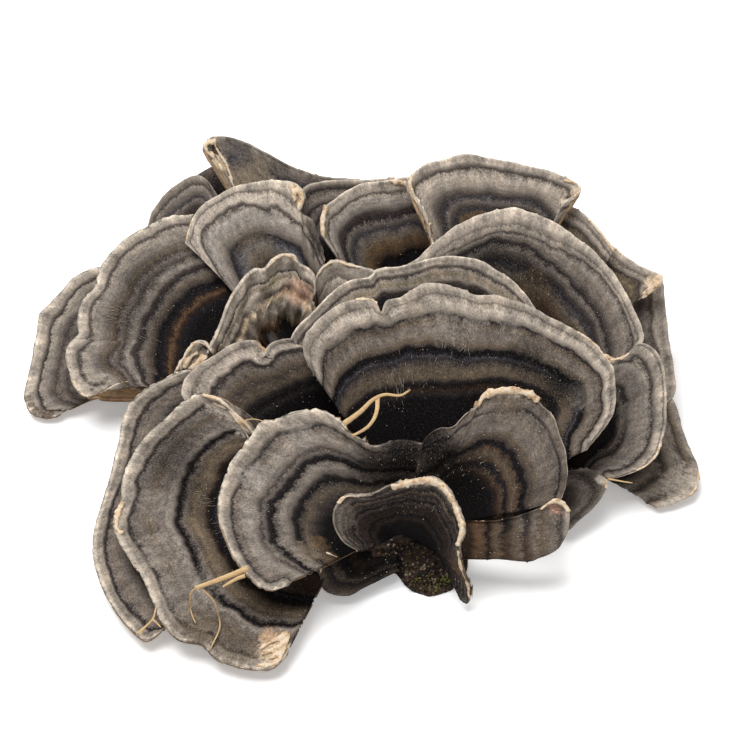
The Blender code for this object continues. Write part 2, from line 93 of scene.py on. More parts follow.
def shade(name, gain=1.0):
    # The named colour as linear values.
    return [min(1.0, paletteGain * gain * ((part / 255) ** screenGamma) ** paletteContrast)
            for part in shades[name]] + [1.0]


def smooth(low, high, x):
    t = np.clip((x - low) / (high - low), 0, 1)
    return t * t * (3 - 2 * t)


def meshFrom(name, bm):
    mesh = bpy.data.meshes.new(name)
    bm.to_mesh(mesh)
    bm.free()
    return mesh


def placed(name, data):
    # A new object in the scene.
    made = bpy.data.objects.new(name, data)
    bpy.context.scene.collection.objects.link(made)
    return made


def noiseAt(xs, ys, seed):
    # Smooth noise, about -1 to 1, at each pair of the two arrays.
    flat = [noise.noise((x, y, seed)) for x, y in zip(xs.ravel().tolist(), ys.ravel().tolist())]
    return np.array(flat).reshape(xs.shape)


def seenAt(across, up, height):
    drawn = across * rightWay + up * upWay
    share = (height - eye.z) / (drawn.z - eye.z)
    return eye + (drawn - eye) * share


def drawnAt(point):
    # The place on the drawing at which a point in space is seen.
    ray = point - eye
    depth = -ray.dot(towardsEye)
    return ray.x * eyeDistance / depth, ray.dot(upWay) * eyeDistance / depth + eyeUp


def drawnAll(points):
    # The same for a whole array of points: two arrays.
    ray = points - np.array(eye)
    depth = -ray @ np.array(towardsEye)
    across = ray @ np.array(rightWay) * eyeDistance / depth
    return across, ray @ np.array(upWay) * eyeDistance / depth + eyeUp


def nearest(across, up, a, b):
    # Where in the two arrays the place lies that is seen closest to (a, b).
    return np.unravel_index(np.argmin(np.hypot(across - a, up - b)), across.shape)


def curveThrough(points, count, fineSteps=12):
    # count + 1 evenly spaced points on the smooth curve through the given ones.
    fine = []
    ends = [points[0] * 2 - points[1]] + points + [points[-1] * 2 - points[-2]]
    for a, b, c, d in zip(ends, ends[1:], ends[2:], ends[3:]):
        for step in range(fineSteps):
            t = step / fineSteps
            fine.append(0.5 * (2 * b + (c - a) * t + (2 * a - 5 * b + 4 * c - d) * t * t
                               + (3 * b - a - 3 * c + d) * t * t * t))
    fine = np.array(fine + [points[-1]])
    steps = np.linalg.norm(np.diff(fine, axis=0), axis=1)
    lengths = np.concatenate([[0], np.cumsum(steps)])
    wanted = np.linspace(0, lengths[-1], count + 1)
    return np.stack([np.interp(wanted, lengths, fine[:, k]) for k in range(3)], axis=1)


def calmed(row, passes):
    # The same line with its bends eased.
    row = row.copy()
    for _ in range(passes):
        row[1:-1] = (row[:-2] + 2 * row[1:-1] + row[2:]) / 4
    return row


def addNode(tree, kind, **settings):
    node = tree.nodes.new(kind)
    for key, value in settings.items():
        setattr(node, key, value)
    return node


def feed(tree, socket, value):
    # Links a socket to another one, or sets it.
    if isinstance(value, bpy.types.NodeSocket):
        tree.links.new(value, socket)
    else:
        socket.default_value = value


def sums(tree, operation, a, b):
    node = addNode(tree, "ShaderNodeMath", operation=operation)
    feed(tree, node.inputs[0], a)
    feed(tree, node.inputs[1], b)
    return node.outputs[0]


def plus(tree, a, b):
    return sums(tree, "ADD", a, b)


def times(tree, a, b):
    return sums(tree, "MULTIPLY", a, b)


def spread(tree, value, low, high, toLow, toHigh):
    node = addNode(tree, "ShaderNodeMapRange", clamp=True)
    for socket, number in zip(node.inputs, (value, low, high, toLow, toHigh)):
        feed(tree, socket, number)
    return node.outputs[0]


def scaled(tree, vector, x, y, z):
    node = addNode(tree, "ShaderNodeVectorMath", operation="MULTIPLY")
    feed(tree, node.inputs[0], vector)
    node.inputs[1].default_value = (x, y, z)
    return node.outputs[0]


def objectPlace(tree):
    return addNode(tree, "ShaderNodeTexCoord").outputs["Object"]


def noiseNode(tree, vector, scale, detail=3.0, roughness=0.55):
    node = addNode(tree, "ShaderNodeTexNoise")
    feed(tree, node.inputs["Vector"], vector)
    node.inputs["Scale"].default_value = scale
    node.inputs["Detail"].default_value = detail
    node.inputs["Roughness"].default_value = roughness
    return node.outputs["Fac"]


def rampThrough(tree, value, stops):
    # A colour ramp through (position, name of a shade).
    ramp = addNode(tree, "ShaderNodeValToRGB")
    feed(tree, ramp.inputs[0], value)
    made = ramp.color_ramp.elements
    for end in (0, -1):
        made[end].position, made[end].color = stops[end][0], shade(stops[end][1])
    for position, name in stops[1:-1]:
        made.new(position).color = shade(name)
    return ramp.outputs["Color"]


def blended(tree, way, amount, a, b):
    node = addNode(tree, "ShaderNodeMix", data_type="RGBA", blend_type=way)
    feed(tree, node.inputs["Factor"], amount)
    feed(tree, node.inputs["A"], a)
    feed(tree, node.inputs["B"], b)
    return node.outputs["Result"]


def mostlyFirst(tree, a, b):
    return plus(tree, times(tree, a, 0.6), times(tree, b, 0.4))


def mixed(tree, amount, a, b):
    return blended(tree, "MIX", amount, a, b)


def tinted(tree, colour, tint, amount=1.0):
    return blended(tree, "MULTIPLY", amount, colour, tint)


def newGroup(name, inputs, outputs):
    group = bpy.data.node_groups.new(name, "ShaderNodeTree")
    for way, sockets in (("INPUT", inputs), ("OUTPUT", outputs)):
        for label, kind in sockets:
            group.interface.new_socket(name=label, in_out=way, socket_type="NodeSocket" + kind)
    return group, group.nodes.new("NodeGroupInput"), group.nodes.new("NodeGroupOutput")


def useGroup(tree, group, **values):
    node = addNode(tree, "ShaderNodeGroup", node_tree=group)
    for key, value in values.items():
        feed(tree, node.inputs[key], value)
    return node.outputs


def dotsIn(group, growth, scale, size, few):
    # Small round dots in some of the cells of a loose grid.
    cells = addNode(group, "ShaderNodeTexVoronoi", feature="F1")
    feed(group, cells.inputs["Vector"], growth)
    cells.inputs["Scale"].default_value = scale
    split = addNode(group, "ShaderNodeSeparateColor")
    group.links.new(cells.outputs["Color"], split.inputs[0])
    wide = times(group, split.outputs[1], size)
    inside = sums(group, "SUBTRACT", wide, cells.outputs["Distance"])
    chosen = spread(group, split.outputs[0], few, few + 0.03, 0.0, 1.0)
    return times(group, spread(group, inside, 0.0, 0.05, 0.0, 1.0), chosen)


# How often each pattern repeats in a mm round the rim and in a mm inwards, detail, roughness.
velvetLook = {
    "coarse": (1.3, 0.22, 3.0, 0.6),
    "fine": (3.6, 0.9, 3.0, 0.65),
    "grain": (3.0, 2.4, 2.0, 0.7),
    "rings": (0.07, 1.1, 4.0, 0.65),
    "patches": (0.34, 0.2, 4.0, 0.65),
    "mottle": (0.75, 0.6, 3.0, 0.65),
}


def velvetGroup():
    # Fine hairs that run out to the margin, grain, faint rings, soft patches and stray dust.
    group, given, made = newGroup(
        "velvet", [("Growth", "Vector")],
        [("Fibres", "Float"), ("Grain", "Float"), ("Rings", "Float"), ("Patches", "Float"),
         ("Mottle", "Float"), ("Dust", "Float"), ("Height", "Float")])
    growth = given.outputs["Growth"]
    parts = {}
    for key, (around, inwards, detail, roughness) in velvetLook.items():
        stretched = scaled(group, growth, around, inwards, 1)
        parts[key] = noiseNode(group, stretched, 1.0, detail, roughness)
    fibres = plus(group, times(group, parts["coarse"], 0.5), times(group, parts["fine"], 0.5))
    sparse, close = dotsIn(group, growth, 1.0, 0.3, 0.72), dotsIn(group, growth, 2.1, 0.42, 0.66)
    dust = plus(group, sparse, close)
    clouds = spread(group, noiseNode(group, growth, 0.13, 2.0, 0.5), 0.38, 0.62, 0.15, 1.0)
    dust = times(group, dust, clouds)
    height = times(group, fibres, 0.6)
    for part, rise in ((parts["rings"], 0.5), (parts["grain"], 0.6), (dust, 0.4)):
        height = plus(group, height, times(group, part, rise))
    for label, value in (("Fibres", fibres), ("Grain", parts["grain"]), ("Rings", parts["rings"]),
                         ("Patches", parts["patches"]), ("Mottle", parts["mottle"]),
                         ("Dust", dust), ("Height", height)):
        feed(group, made.inputs[label], value)
    return group


def stainGroup():
    # A ragged spot round one place, in metres, and the same with soft edges.
    group, given, made = newGroup("stain", [("Centre", "Vector"), ("Radius", "Float")],
                                  [("Mask", "Float"), ("Soft", "Float")])
    where = objectPlace(group)
    apart = addNode(group, "ShaderNodeVectorMath", operation="DISTANCE")
    feed(group, apart.inputs[0], where)
    feed(group, apart.inputs[1], given.outputs["Centre"])
    rough = noiseNode(group, where, 900.0, 4.0, 0.65)
    share = sums(group, "DIVIDE", apart.outputs["Value"], given.outputs["Radius"])
    for label, stray, full, gone in (("Mask", 0.45, 0.7, 1.05), ("Soft", 0.12, 0.35, 1.0)):
        edge = plus(group, share, spread(group, rough, 0.3, 0.7, -stray, stray))
        feed(group, made.inputs[label], spread(group, edge, full, gone, 1.0, 0.0))
    return group


def poresGroup():
    # The close round pores of an underside.
    group, given, made = newGroup("pores", [("Size", "Float")],
                                  [("Pores", "Float"), ("Patches", "Float")])
    where = objectPlace(group)
    cells = addNode(group, "ShaderNodeTexVoronoi", feature="F1")
    feed(group, cells.inputs["Vector"], where)
    feed(group, cells.inputs["Scale"], given.outputs["Size"])
    feed(group, made.inputs["Pores"], spread(group, cells.outputs["Distance"], 0.05, 0.5, 1.0, 0.0))
    feed(group, made.inputs["Patches"], noiseNode(group, where, 160.0, 4.0, 0.6))
    return group


velvet = velvetGroup()
stain = stainGroup()
pores = poresGroup()


def newMaterial(name, roughness, gloss=0.25):
    material = bpy.data.materials.new(name)
    material.use_nodes = True
    tree = material.node_tree
    shader = tree.nodes["Principled BSDF"]
    shader.inputs["Roughness"].default_value = roughness
    shader.inputs["Specular IOR Level"].default_value = gloss
    return material, tree, shader


def addBump(tree, shader, height, strength, distance):
    bump = addNode(tree, "ShaderNodeBump")
    bump.inputs["Strength"].default_value = strength
    bump.inputs["Distance"].default_value = distance
    feed(tree, bump.inputs["Height"], height)
    feed(tree, shader.inputs["Normal"], bump.outputs["Normal"])


growthUnit = 100.0        # mm in one unit of the growth map
capLook = {
    # How far each pattern shifts the bands, in mm.
    "shifts": (("Fibres", 0.15), ("Grain", 0.1), ("Mottle", 0.34)),
    # The darkest and the palest each pattern makes the colour.
    "tones": (("Fibres", 0.8, 1.22), ("Grain", 0.6, 1.4), ("Rings", 0.78, 1.22),
              ("Patches", 0.74, 1.28), ("Mottle", 0.64, 1.42)),
    "warmth": (1.06, 0.98, 0.89, 1),
    # The colour of the painted shade, laid over troughs, gaps between caps and places under
    # overhanging margins.
    "paintedShade": (0.09, 0.08, 0.085, 1),
}


def capMaterial(name, cap, reach, spotAt):
    # The banded, velvety upper side of one cap. The growth map is the way round the rim and in
    # from the margin; the bands map is how torn the margin is and the depth in the bands.
    material, tree, shader = newMaterial(name, 0.95, 0.1)
    growth = addNode(tree, "ShaderNodeUVMap", uv_map="growth").outputs["UV"]
    hair = useGroup(tree, velvet, Growth=scaled(tree, growth, growthUnit, growthUnit, 1.0))
    bands = addNode(tree, "ShaderNodeSeparateXYZ")
    tree.links.new(addNode(tree, "ShaderNodeUVMap", uv_map="bands").outputs["UV"], bands.inputs[0])
    torn, depth = bands.outputs["X"], bands.outputs["Y"]
    loose = 0.0
    for part, wide in capLook["shifts"]:
        shift = spread(tree, hair[part], 0.25, 0.75, -wide / reach, wide / reach)
        loose = plus(tree, loose, shift)
    calm = spread(tree, depth, 0.0, 2.5 / reach, 0.25, 1.0)
    inwards = plus(tree, depth, times(tree, loose, calm))
    stops = [(percent / 100, colour) for percent, colour in cap["zones"]]
    plain = rampThrough(tree, inwards, stops)
    tone = 1.0
    for part, low, high in capLook["tones"]:
        tone = times(tree, tone, spread(tree, hair[part], 0.28, 0.72, low, high))
    colour = tinted(tree, plain, tone)
    atLip = spread(tree, depth, 1.0 / reach, 4.0 / reach, 1.0, 0.0)
    colour = tinted(tree, colour, spread(tree, hair["Patches"], 0.36, 0.62, 0.66, 1.14), atLip)
    warm = spread(tree, hair["Patches"], 0.45, 0.7, 0.0, 0.6)
    colour = tinted(tree, colour, capLook["warmth"], warm)
    for across, up, radius, tint, strength in cap.get("stains", []):
        spot = useGroup(tree, stain, Centre=spotAt(across, up), Radius=radius * mm)["Mask"]
        spot = times(tree, spot, spread(tree, hair["Fibres"], 0.35, 0.6, 0.5 * strength, strength))
        colour = mixed(tree, spot, colour, tinted(tree, shade(tint), tone))
    # Painted shade: soft dark patches where shade falls, in troughs, gaps between caps and under
    # overhanging margins.
    for across, up, radius, strength in cap.get("paintedShade", []):
        spot = useGroup(tree, stain, Centre=spotAt(across, up), Radius=radius * mm)["Soft"]
        colour = tinted(tree, colour, capLook["paintedShade"], times(tree, spot, strength))
    specks = spread(tree, hair["Grain"], 0.5, 0.74, 0.0, 0.42)
    specks = times(tree, specks, spread(tree, plain, 0.005, 0.05, 0.35, 1.0))
    colour = mixed(tree, specks, colour, shade("grey"))
    torn = plus(tree, torn, spread(tree, hair["Mottle"], 0.3, 0.7, -0.12, 0.12))
    flesh = tinted(tree, shade("ivory"), spread(tree, hair["Grain"], 0.3, 0.7, 0.8, 1.1))
    colour = mixed(tree, spread(tree, torn, 0.3, 0.6, 0.0, 0.9), colour, flesh)
    colour = mixed(tree, times(tree, hair["Dust"], 0.14), colour, shade("paleTan"))
    feed(tree, shader.inputs["Base Color"], colour)
    feed(tree, shader.inputs["Roughness"], spread(tree, hair["Fibres"], 0.3, 0.7, 1.0, 0.85))
    addBump(tree, shader, hair["Height"], 0.6, 0.0004)
    return material


def undersideMaterial():
    # The buff underside, full of fine pores.
    material, tree, shader = newMaterial("underside", 0.85)
    dots = useGroup(tree, pores, Size=2400.0)
    patches = spread(tree, dots["Patches"], 0.35, 0.65, 0.0, 0.6)
    colour = mixed(tree, patches, shade("biscuit"), shade("ochreTan"))
    # Darker inside each pore, where the bump dips: painted shade.
    tone = spread(tree, dots["Pores"], 0.0, 1.0, 1.0, 0.72)
    feed(tree, shader.inputs["Base Color"], tinted(tree, colour, tone))
    height = plus(tree, times(tree, dots["Pores"], -1.0), dots["Patches"])
    addBump(tree, shader, height, 0.4, 0.0002)
    return material


underside = undersideMaterial()


capPlaces = {}        # each finished cap's upper face: points, normals, and where they are seen
capShape = {
    "step": 0.6,                # size of the mesh
    "calmStep": 7,              # between the points of the eased rim that the inner rows follow
    "marginThick": 0.85,
    "neckThick": (2.6, 0.045),  # the most, and its share of the rim's length
    "edgeRound": 0.3,
    "lowest": (0.15, 0.5),      # under and upper face over the table
    "bandRise": 0.6,            # how far the pale bands stand out
    # Rise, then length along the rim and inwards.
    "ruffles": (0.45, 13, 26),
    "ridges": (0.2, 3.2, 18),
    "grain": (0.07, 0.9, 3.0),
}


def lipSize(cap, rim, along):
    # How much the margin swells at each place along it.
    size = np.zeros(len(rim))
    across, up = drawnAll(rim)
    for place, half, swell in cap.get("lips", []):
        k = nearest(across, up, *place)[0]
        size = np.maximum(size, swell * np.exp(-((along - along[k]) / half) ** 4))
    return size


def brightness(cap, depth):
    tones = [sum(shades[name]) / 765 for _, name in cap["zones"]]
    return np.interp(depth, [percent / 100 for percent, _ in cap["zones"]], tones)


def softLeast(a, b):
    # The smaller of the two, with a rounded change-over.
    return (np.maximum(a, 1e-4) ** -5.0 + np.maximum(b, 1e-4) ** -5.0) ** -0.2


def drifted(lines, u, depth):
    # Each named line of the zone table is seen at these percents, at these shares along the rim.
    named = sorted(lines)
    meant = [-1, 0] + [line / 100 for line in named] + [1, 2]
    out = depth.copy()
    for i in range(depth.shape[1]):
        seen = [np.interp(u[i], *zip(*lines[line])) / 100 for line in named]
        out[:, i] = np.interp(depth[:, i], [-1, 0] + seen + [1, 2], meant)
    return out


def creaseAt(seen, first, last):
    # A step up across the line from first to last, on its left, that dies away within 4 mm.
    ahead = np.array(last, dtype=float) - np.array(first)
    length = np.hypot(*ahead)
    ahead /= length
    along = (seen[0] - first[0]) * ahead[0] + (seen[1] - first[1]) * ahead[1]
    aside = (seen[1] - first[1]) * ahead[0] - (seen[0] - first[0]) * ahead[1]
    within = smooth(-1, 1.5, along) * (1 - smooth(length - 3, length, along))
    return within * smooth(-0.3, 0.3, aside) * np.exp(-np.maximum(0, aside) / 2.5)


def capSheet(cap):
    # The curved sheet of one cap, in rows from its neck out to its rim.
    traced = [seenAt(*p) for p in cap["rim"]]
    length = sum((b - a).length for a, b in zip(traced, traced[1:]))
    step = cap.get("step", capShape["step"])
    sides = round(length / step)
    few = max(8, round(length / capShape["calmStep"]))
    root = seenAt(*cap["root"])
    rim = curveThrough(traced, sides)
    coarse = calmed(curveThrough(traced, few), few // 3)
    calm = curveThrough([Vector(p) for p in coarse], sides)
    facing = Vector()
    for a, b in zip(rim, rim[1:]):
        facing += (Vector(a) - root).cross(Vector(b) - root)
    facing.normalize()
    if facing.z < facing.y:
        facing = -facing
    neck = np.array(rim[-1] - rim[0]) * cap.get("neck", 0.3)
    start = np.array(root) + neck * (np.linspace(0, 1, sides + 1)[:, None] - 0.5)
    rings = max(8, round(float(np.linalg.norm(rim - start, axis=1).max()) / step))
    v = np.linspace(0, 1, rings + 1)[:, None, None]
    u = np.linspace(0, 1, sides + 1)[None, :, None]
    middle = Vector(rim[sides // 2]) - root
    bends = []
    for end, bow in zip((rim[0], rim[-1]), cap.get("bow", (0, 0))):
        way = facing.cross(Vector(end) - root).normalized()
        bends.append(np.array(way if way.dot(middle) > 0 else -way) * bow)
    bend = bends[0] * np.maximum(0, 1 - 3 * u) + bends[1] * np.maximum(0, 3 * u - 2)
    rows = (start * (1 - v) + calm * v + (rim - calm) * v ** cap.get("fade", 3)
            + bend * np.sin(np.pi * v)
            + np.array(facing) * cap.get("arch", 2.0) * np.sin(np.pi * v ** 1.6))
    normals = np.cross(np.gradient(rows, axis=0), np.gradient(rows, axis=1))
    normals /= np.maximum(np.linalg.norm(normals, axis=2, keepdims=True), 1e-9)
    if (normals[rings // 2, sides // 2] * np.array(facing)).sum() < 0:
        normals = -normals
    downwards = np.array(facing) * (1 - 0.5 * v) + normals * 0.5 * v
    downwards /= np.linalg.norm(downwards, axis=2, keepdims=True)
    return rim, start, length, rows, normals, downwards


def bandDepth(cap, rim, rows, along, inwards, share, reach, seed):
    # How deep in the bands each place lies: 0 at the margin, 1 at the neck.
    wobble = (0.75 * noiseAt(along / 8, inwards / 14, seed)
              + 0.5 * noiseAt(along / 2.6, inwards / 5, seed + 9))
    wobble = wobble * cap.get("wander", 1.0)
    u = np.linspace(0, 1, rows.shape[1])
    depth = share + wobble * smooth(0.3, 3.5, inwards) / reach
    depth = depth + np.interp(u, *zip(*cap.get("shift", [(0, 0), (1, 0)])))
    for first, last, _, drift in cap.get("creases", []):
        depth = depth + drift * creaseAt(drawnAll(rows), first, last)
    if "zonesAcross" in cap:
        outer, inner = cap["zonesAcross"]
        return np.maximum(0, (outer - drawnAll(rows)[0]) / (outer - inner) + wobble / reach)
    if "lines" in cap:
        depth = drifted(cap["lines"], u, depth)
    # Bands also follow the margin where it turns down the sides, and a side edge that has a margin.
    first, last = [round(part * (len(u) - 1)) for part in cap.get("margin", (0, 1))]
    margin = rim[first:last + 1:3]
    apart = np.linalg.norm(rows[:, :, None, :] - margin[None, None, :, :], axis=3).min(axis=2)
    depth = softLeast(depth, (cap.get("turn", 1.6) * apart + wobble) / reach)
    if "wrap" in cap:
        pieces = np.linalg.norm(np.diff(rows, axis=1), axis=2)
        aside = np.concatenate([np.zeros((len(rows), 1)), np.cumsum(pieces, axis=1)], axis=1)
        depth = softLeast(depth, (aside * cap["wrap"] + 0.35 * inwards + wobble) / reach)
    return np.maximum(0, depth)


def capRelief(cap, rows, along, inwards, near, depth, lip, lumps, seed):
    # How far each place stands out of the sheet: bands, ruffles, ridges, grain, lips and creases.
    relief = capShape["bandRise"] * (brightness(cap, depth) - 0.4)
    for key, part, more in (("ruffles", near, 1), ("ridges", near, 2), ("grain", 1, 4)):
        rise, wide, deep = capShape[key]
        relief = relief + rise * part * noiseAt(along / wide, inwards / deep, seed + more)
    if "crumple" in cap:
        relief = relief + cap["crumple"] * smooth(0, 3, inwards) * (
            noiseAt(along / 3.5, inwards / 4, seed + 5)
            + 0.5 * noiseAt(along / 1.4, inwards / 3, seed + 6))
    relief = relief + lip * np.exp(-(inwards / 1.1) ** 2) * (0.45 + 0.45 * lumps)
    for first, last, rise, _ in cap.get("creases", []):
        relief = relief + rise * creaseAt(drawnAll(rows), first, last)
    return relief - 0.5 * lip * np.exp(-((inwards - 2.4) / 1.1) ** 2)


def capMesh(upper, lower, along, inwards, torn, depth):
    # Both faces of a cap, joined round their edges, with the two maps.
    rings, sides = upper.shape[0] - 1, upper.shape[1] - 1
    bm = bmesh.new()
    bmesh.ops.create_grid(bm, x_segments=sides, y_segments=rings, size=0.5)
    growthMap = bm.loops.layers.uv.new("growth")
    bandsMap = bm.loops.layers.uv.new("bands")

    def gridPlace(vert):
        return round((vert.co.y + 0.5) * rings), round((vert.co.x + 0.5) * sides)

    place = {vert: gridPlace(vert) for vert in bm.verts}
    for face in bm.faces:
        for loop in face.loops:
            k, i = place[loop.vert]
            loop[growthMap].uv = (along[k, i] / growthUnit, inwards[k, i] / growthUnit)
            loop[bandsMap].uv = (torn[k, i], depth[k, i])
    made = bmesh.ops.extrude_face_region(bm, geom=bm.faces[:])["geom"]
    under = {g for g in made if isinstance(g, bmesh.types.BMVert)}
    for vert in bm.verts:
        vert.co = (lower if vert in under else upper)[gridPlace(vert)] * mm
    walls = set()
    for face in bm.faces:
        count = sum(vert in under for vert in face.verts)
        face.material_index = 1 if count == len(face.verts) else 0
        if 0 < count < len(face.verts):
            walls.add(face)
    edges = {edge for face in walls for edge in face.edges
             if sum(other in walls for other in edge.link_faces) == 1}
    bmesh.ops.bevel(bm, geom=list(edges), affect="EDGES", offset=capShape["edgeRound"] * mm,
                    segments=2, profile=0.5, material=-1)
    if bm.calc_volume(signed=True) < 0:
        bmesh.ops.reverse_faces(bm, faces=bm.faces[:])
    for face in bm.faces:
        face.smooth = True
    return bm


def makeCap(name, cap):
    seed = sum(ord(letter) for letter in name) * 0.37
    rim, start, length, rows, normals, downwards = capSheet(cap)
    outwards = rim - start
    reach = np.linalg.norm(outwards, axis=1)
    outwards /= reach[:, None]
    meanReach = float(reach.mean())
    v = np.linspace(0, 1, len(rows))[:, None]
    share = np.broadcast_to(1 - v, rows.shape[:2])
    along = np.broadcast_to(np.linspace(0, 1, len(rim)) * length, rows.shape[:2])
    inwards = share * reach
    depth = bandDepth(cap, rim, rows, along, inwards, share, meanReach, seed)
    # The swollen, lumpy and ragged lips.
    lip = lipSize(cap, rim, along[0])
    lumps = 2.6 * np.abs(noiseAt(along / 2.0, inwards / 1.7, seed + 3)) - 0.4
    relief = capRelief(cap, rows, along, inwards, v ** 2, depth, lip, lumps, seed)
    ragged = (0.12 + 0.45 * lip) * noiseAt(along[0] / 1.1, along[0] * 0 + 2, seed + 7)
    ragged = ragged + 0.18 * noiseAt(along[0] / 3.4, along[0] * 0 + 5, seed + 8)
    ragged = (ragged * np.exp(-(inwards / 1.2) ** 2))[:, :, None]
    torn = lip * np.exp(-(inwards / 1.9) ** 4)

    upper = rows + normals * relief[:, :, None] + outwards * ragged
    marginThick, (most, byLength) = capShape["marginThick"], capShape["neckThick"]
    thick = marginThick + (min(most, byLength * length) - marginThick) * share
    thick = thick + lip * np.exp(-(inwards / 1.3) ** 2) * (0.5 + 0.3 * lumps)
    lower = upper - downwards * thick[:, :, None]
    for sheet, lowest in zip((lower, upper), capShape["lowest"]):
        sheet[:, :, 2] = np.maximum(sheet[:, :, 2], lowest)
    across, up = drawnAll(upper)
    capPlaces[name] = (upper, normals, across, up)

    def spotAt(a, b):
        # The place on the upper face that is seen at (a, b) on the drawing, in metres.
        return tuple(upper[nearest(across, up, a, b)] * mm)

    mesh = meshFrom(name, capMesh(upper, lower, along, inwards, torn, depth))
    piece = placed(name, mesh)
    mesh.materials.append(capMaterial(name + "Velvet", cap, meanReach, spotAt))
    mesh.materials.append(underside)
    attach(piece, "root")
    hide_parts(cap["node"])
    print(name, len(mesh.polygons), "faces, reach", round(meanReach, 1))


# In the cap tables, the soft dark patches (across, up, radius, strength) are painted shade.
capFrontSmall = {
    "node": "cap_front_small",
    "root": (8, -7, 9),
    "rim": [(-3.5, -8.8, 19), (-6.5, -7, 21), (-8.2, -3.5, 23), (-8, 0, 24.5), (-6, 2.3, 25.5),
            (-3, 2.4, 26), (0, 2.8, 26.5), (3, 4.4, 27), (6.5, 5.2, 27.5), (9.5, 5.4, 28),
            (12, 5.8, 28), (14.5, 3.8, 27), (16.3, 0.8, 25.5), (17.7, -2.2, 23.5),
            (18.2, -5.2, 21.5), (17.2, -7.8, 19), (17.1, -9.7, 16.5), (17.7, -12.5, 12.5),
            (18.6, -15.5, 8), (19, -18.3, 4), (18.2, -19.6, 2.8), (16.8, -18.3, 3)],
    "arch": 1.2,
    "bow": (0, 1),
    "lips": [((7, 5.3), 4, 0.4), ((12.5, 5.6), 4, 0.45), ((16.8, -1), 7, 0.45)],
    "stains": [(18.2, -13, 4.5, "umber", 0.8), (-6.5, -2, 3, "taupe", 0.5)],
    "step": 0.4,
    "paintedShade": [(4, 2, 6, 0.35), (12, -3, 4, 0.4)],
    "zones": [(0, "tan"), (1.5, "mid"), (3.5, "dark"), (6, "mid"), (9, "dark"), (11, "charcoal"),
              (13, "brownGrey"), (16, "charcoal"), (19, "dark"), (22, "black"), (26, "dark"),
              (29, "charcoal"), (33, "darkBrown"), (37, "charcoal"), (40, "darkBrown"),
              (44, "black"), (49, "charcoal"), (53, "darkBrown"), (58, "black"), (100, "black")],
}
makeCap("capFrontSmall", capFrontSmall)

capFrontFold = {
    "node": "cap_front_fold",
    "root": (12, -4, 11),
    "rim": [(36.2, 1.4, 18), (38.6, 0.2, 17), (38.9, -2.2, 15.5), (38.6, -4.8, 13.8),
            (37, -7.8, 12), (35, -9.4, 11), (33, -10.2, 10.2), (30.5, -11, 9.5), (25, -10.5, 9.5),
            (20, -10.4, 9.5), (17.5, -10, 10)],
    "arch": 0.6,
    "zonesAcross": (38.8, 12),
    "lips": [((36.8, 1.6), 2.5, 0.3)],
    "stains": [(36, 0.6, 1.8, "redBrown", 0.6), (28, -9, 5, "brown", 0.6)],
    "bow": (2.0, 0),
    "zones": [(0, "paleTan"), (2, "tan"), (4, "mid"), (6, "dark"), (9, "mid"), (13, "taupe"),
              (20, "brownGrey"), (26, "taupe"), (30, "dark"), (33, "charcoal"), (37, "mid"),
              (41, "brownGrey"), (45, "charcoal"), (49, "black"), (53, "brownGrey"), (57, "brown"),
              (60, "black"), (64, "brown"), (69, "umber"), (74, "darkBrown"), (80, "darkBrown"),
              (88, "black"), (100, "black")],
}
makeCap("capFrontFold", capFrontFold)

capFrontRight = {
    "node": "cap_front_right",
    "root": (12, -2, 9),
    "rim": [(9, 11.5, 23.5), (10.5, 14.3, 24.5), (13, 15.8, 25), (15.5, 16, 25.5), (18, 18.6, 27),
            (20.7, 20.3, 28), (21.6, 22.2, 29), (24.5, 23.5, 30), (28, 23.4, 29.5),
            (31.5, 22.4, 28.5), (33.5, 20.3, 27), (35.8, 18, 25.5), (37.2, 14, 23),
            (38.4, 10, 20.5), (38.6, 7, 18.5), (38.2, 4, 15.5), (37.2, 1.5, 14)],
    "lips": [((26, 23.2), 6, 0.5)],
    "lines": {7.3: [(0.48, 15.5), (0.6, 9), (0.73, 7.3), (0.92, 7)],
              34.5: [(0.48, 34), (0.73, 34), (0.92, 37)],
              59: [(0.48, 56), (0.73, 59), (0.92, 63)]},
    "paintedShade": [(11, 13, 6, 1.0), (13, 9, 7, 0.95), (17, 6, 8, 0.8)],
    "stains": [(27, 20.6, 3, "ochreGrey", 0.5), (34, 14, 3, "taupe", 0.4),
               (24, 18, 2.5, "taupe", 0.5)],
    "zones": [(0, "cream"), (1, "taupe"), (3, "taupe"), (5.3, "mid"), (6.3, "dark"),
              (7.3, "charcoal"), (8.6, "mid"), (11, "mid"), (17, "taupe"), (21, "mid"), (24, "mid"),
              (27, "brownGrey"), (31, "dark"), (33, "black"), (35.5, "blueBlack"), (38, "brown"),
              (42, "brownGrey"), (45, "brown"), (47.5, "blueBlack"), (50, "charcoal"),
              (53, "brown"), (56, "darkBrown"), (59, "blueBlack"), (62, "black"), (68, "black"),
              (100, "black")],
}
makeCap("capFrontRight", capFrontRight)

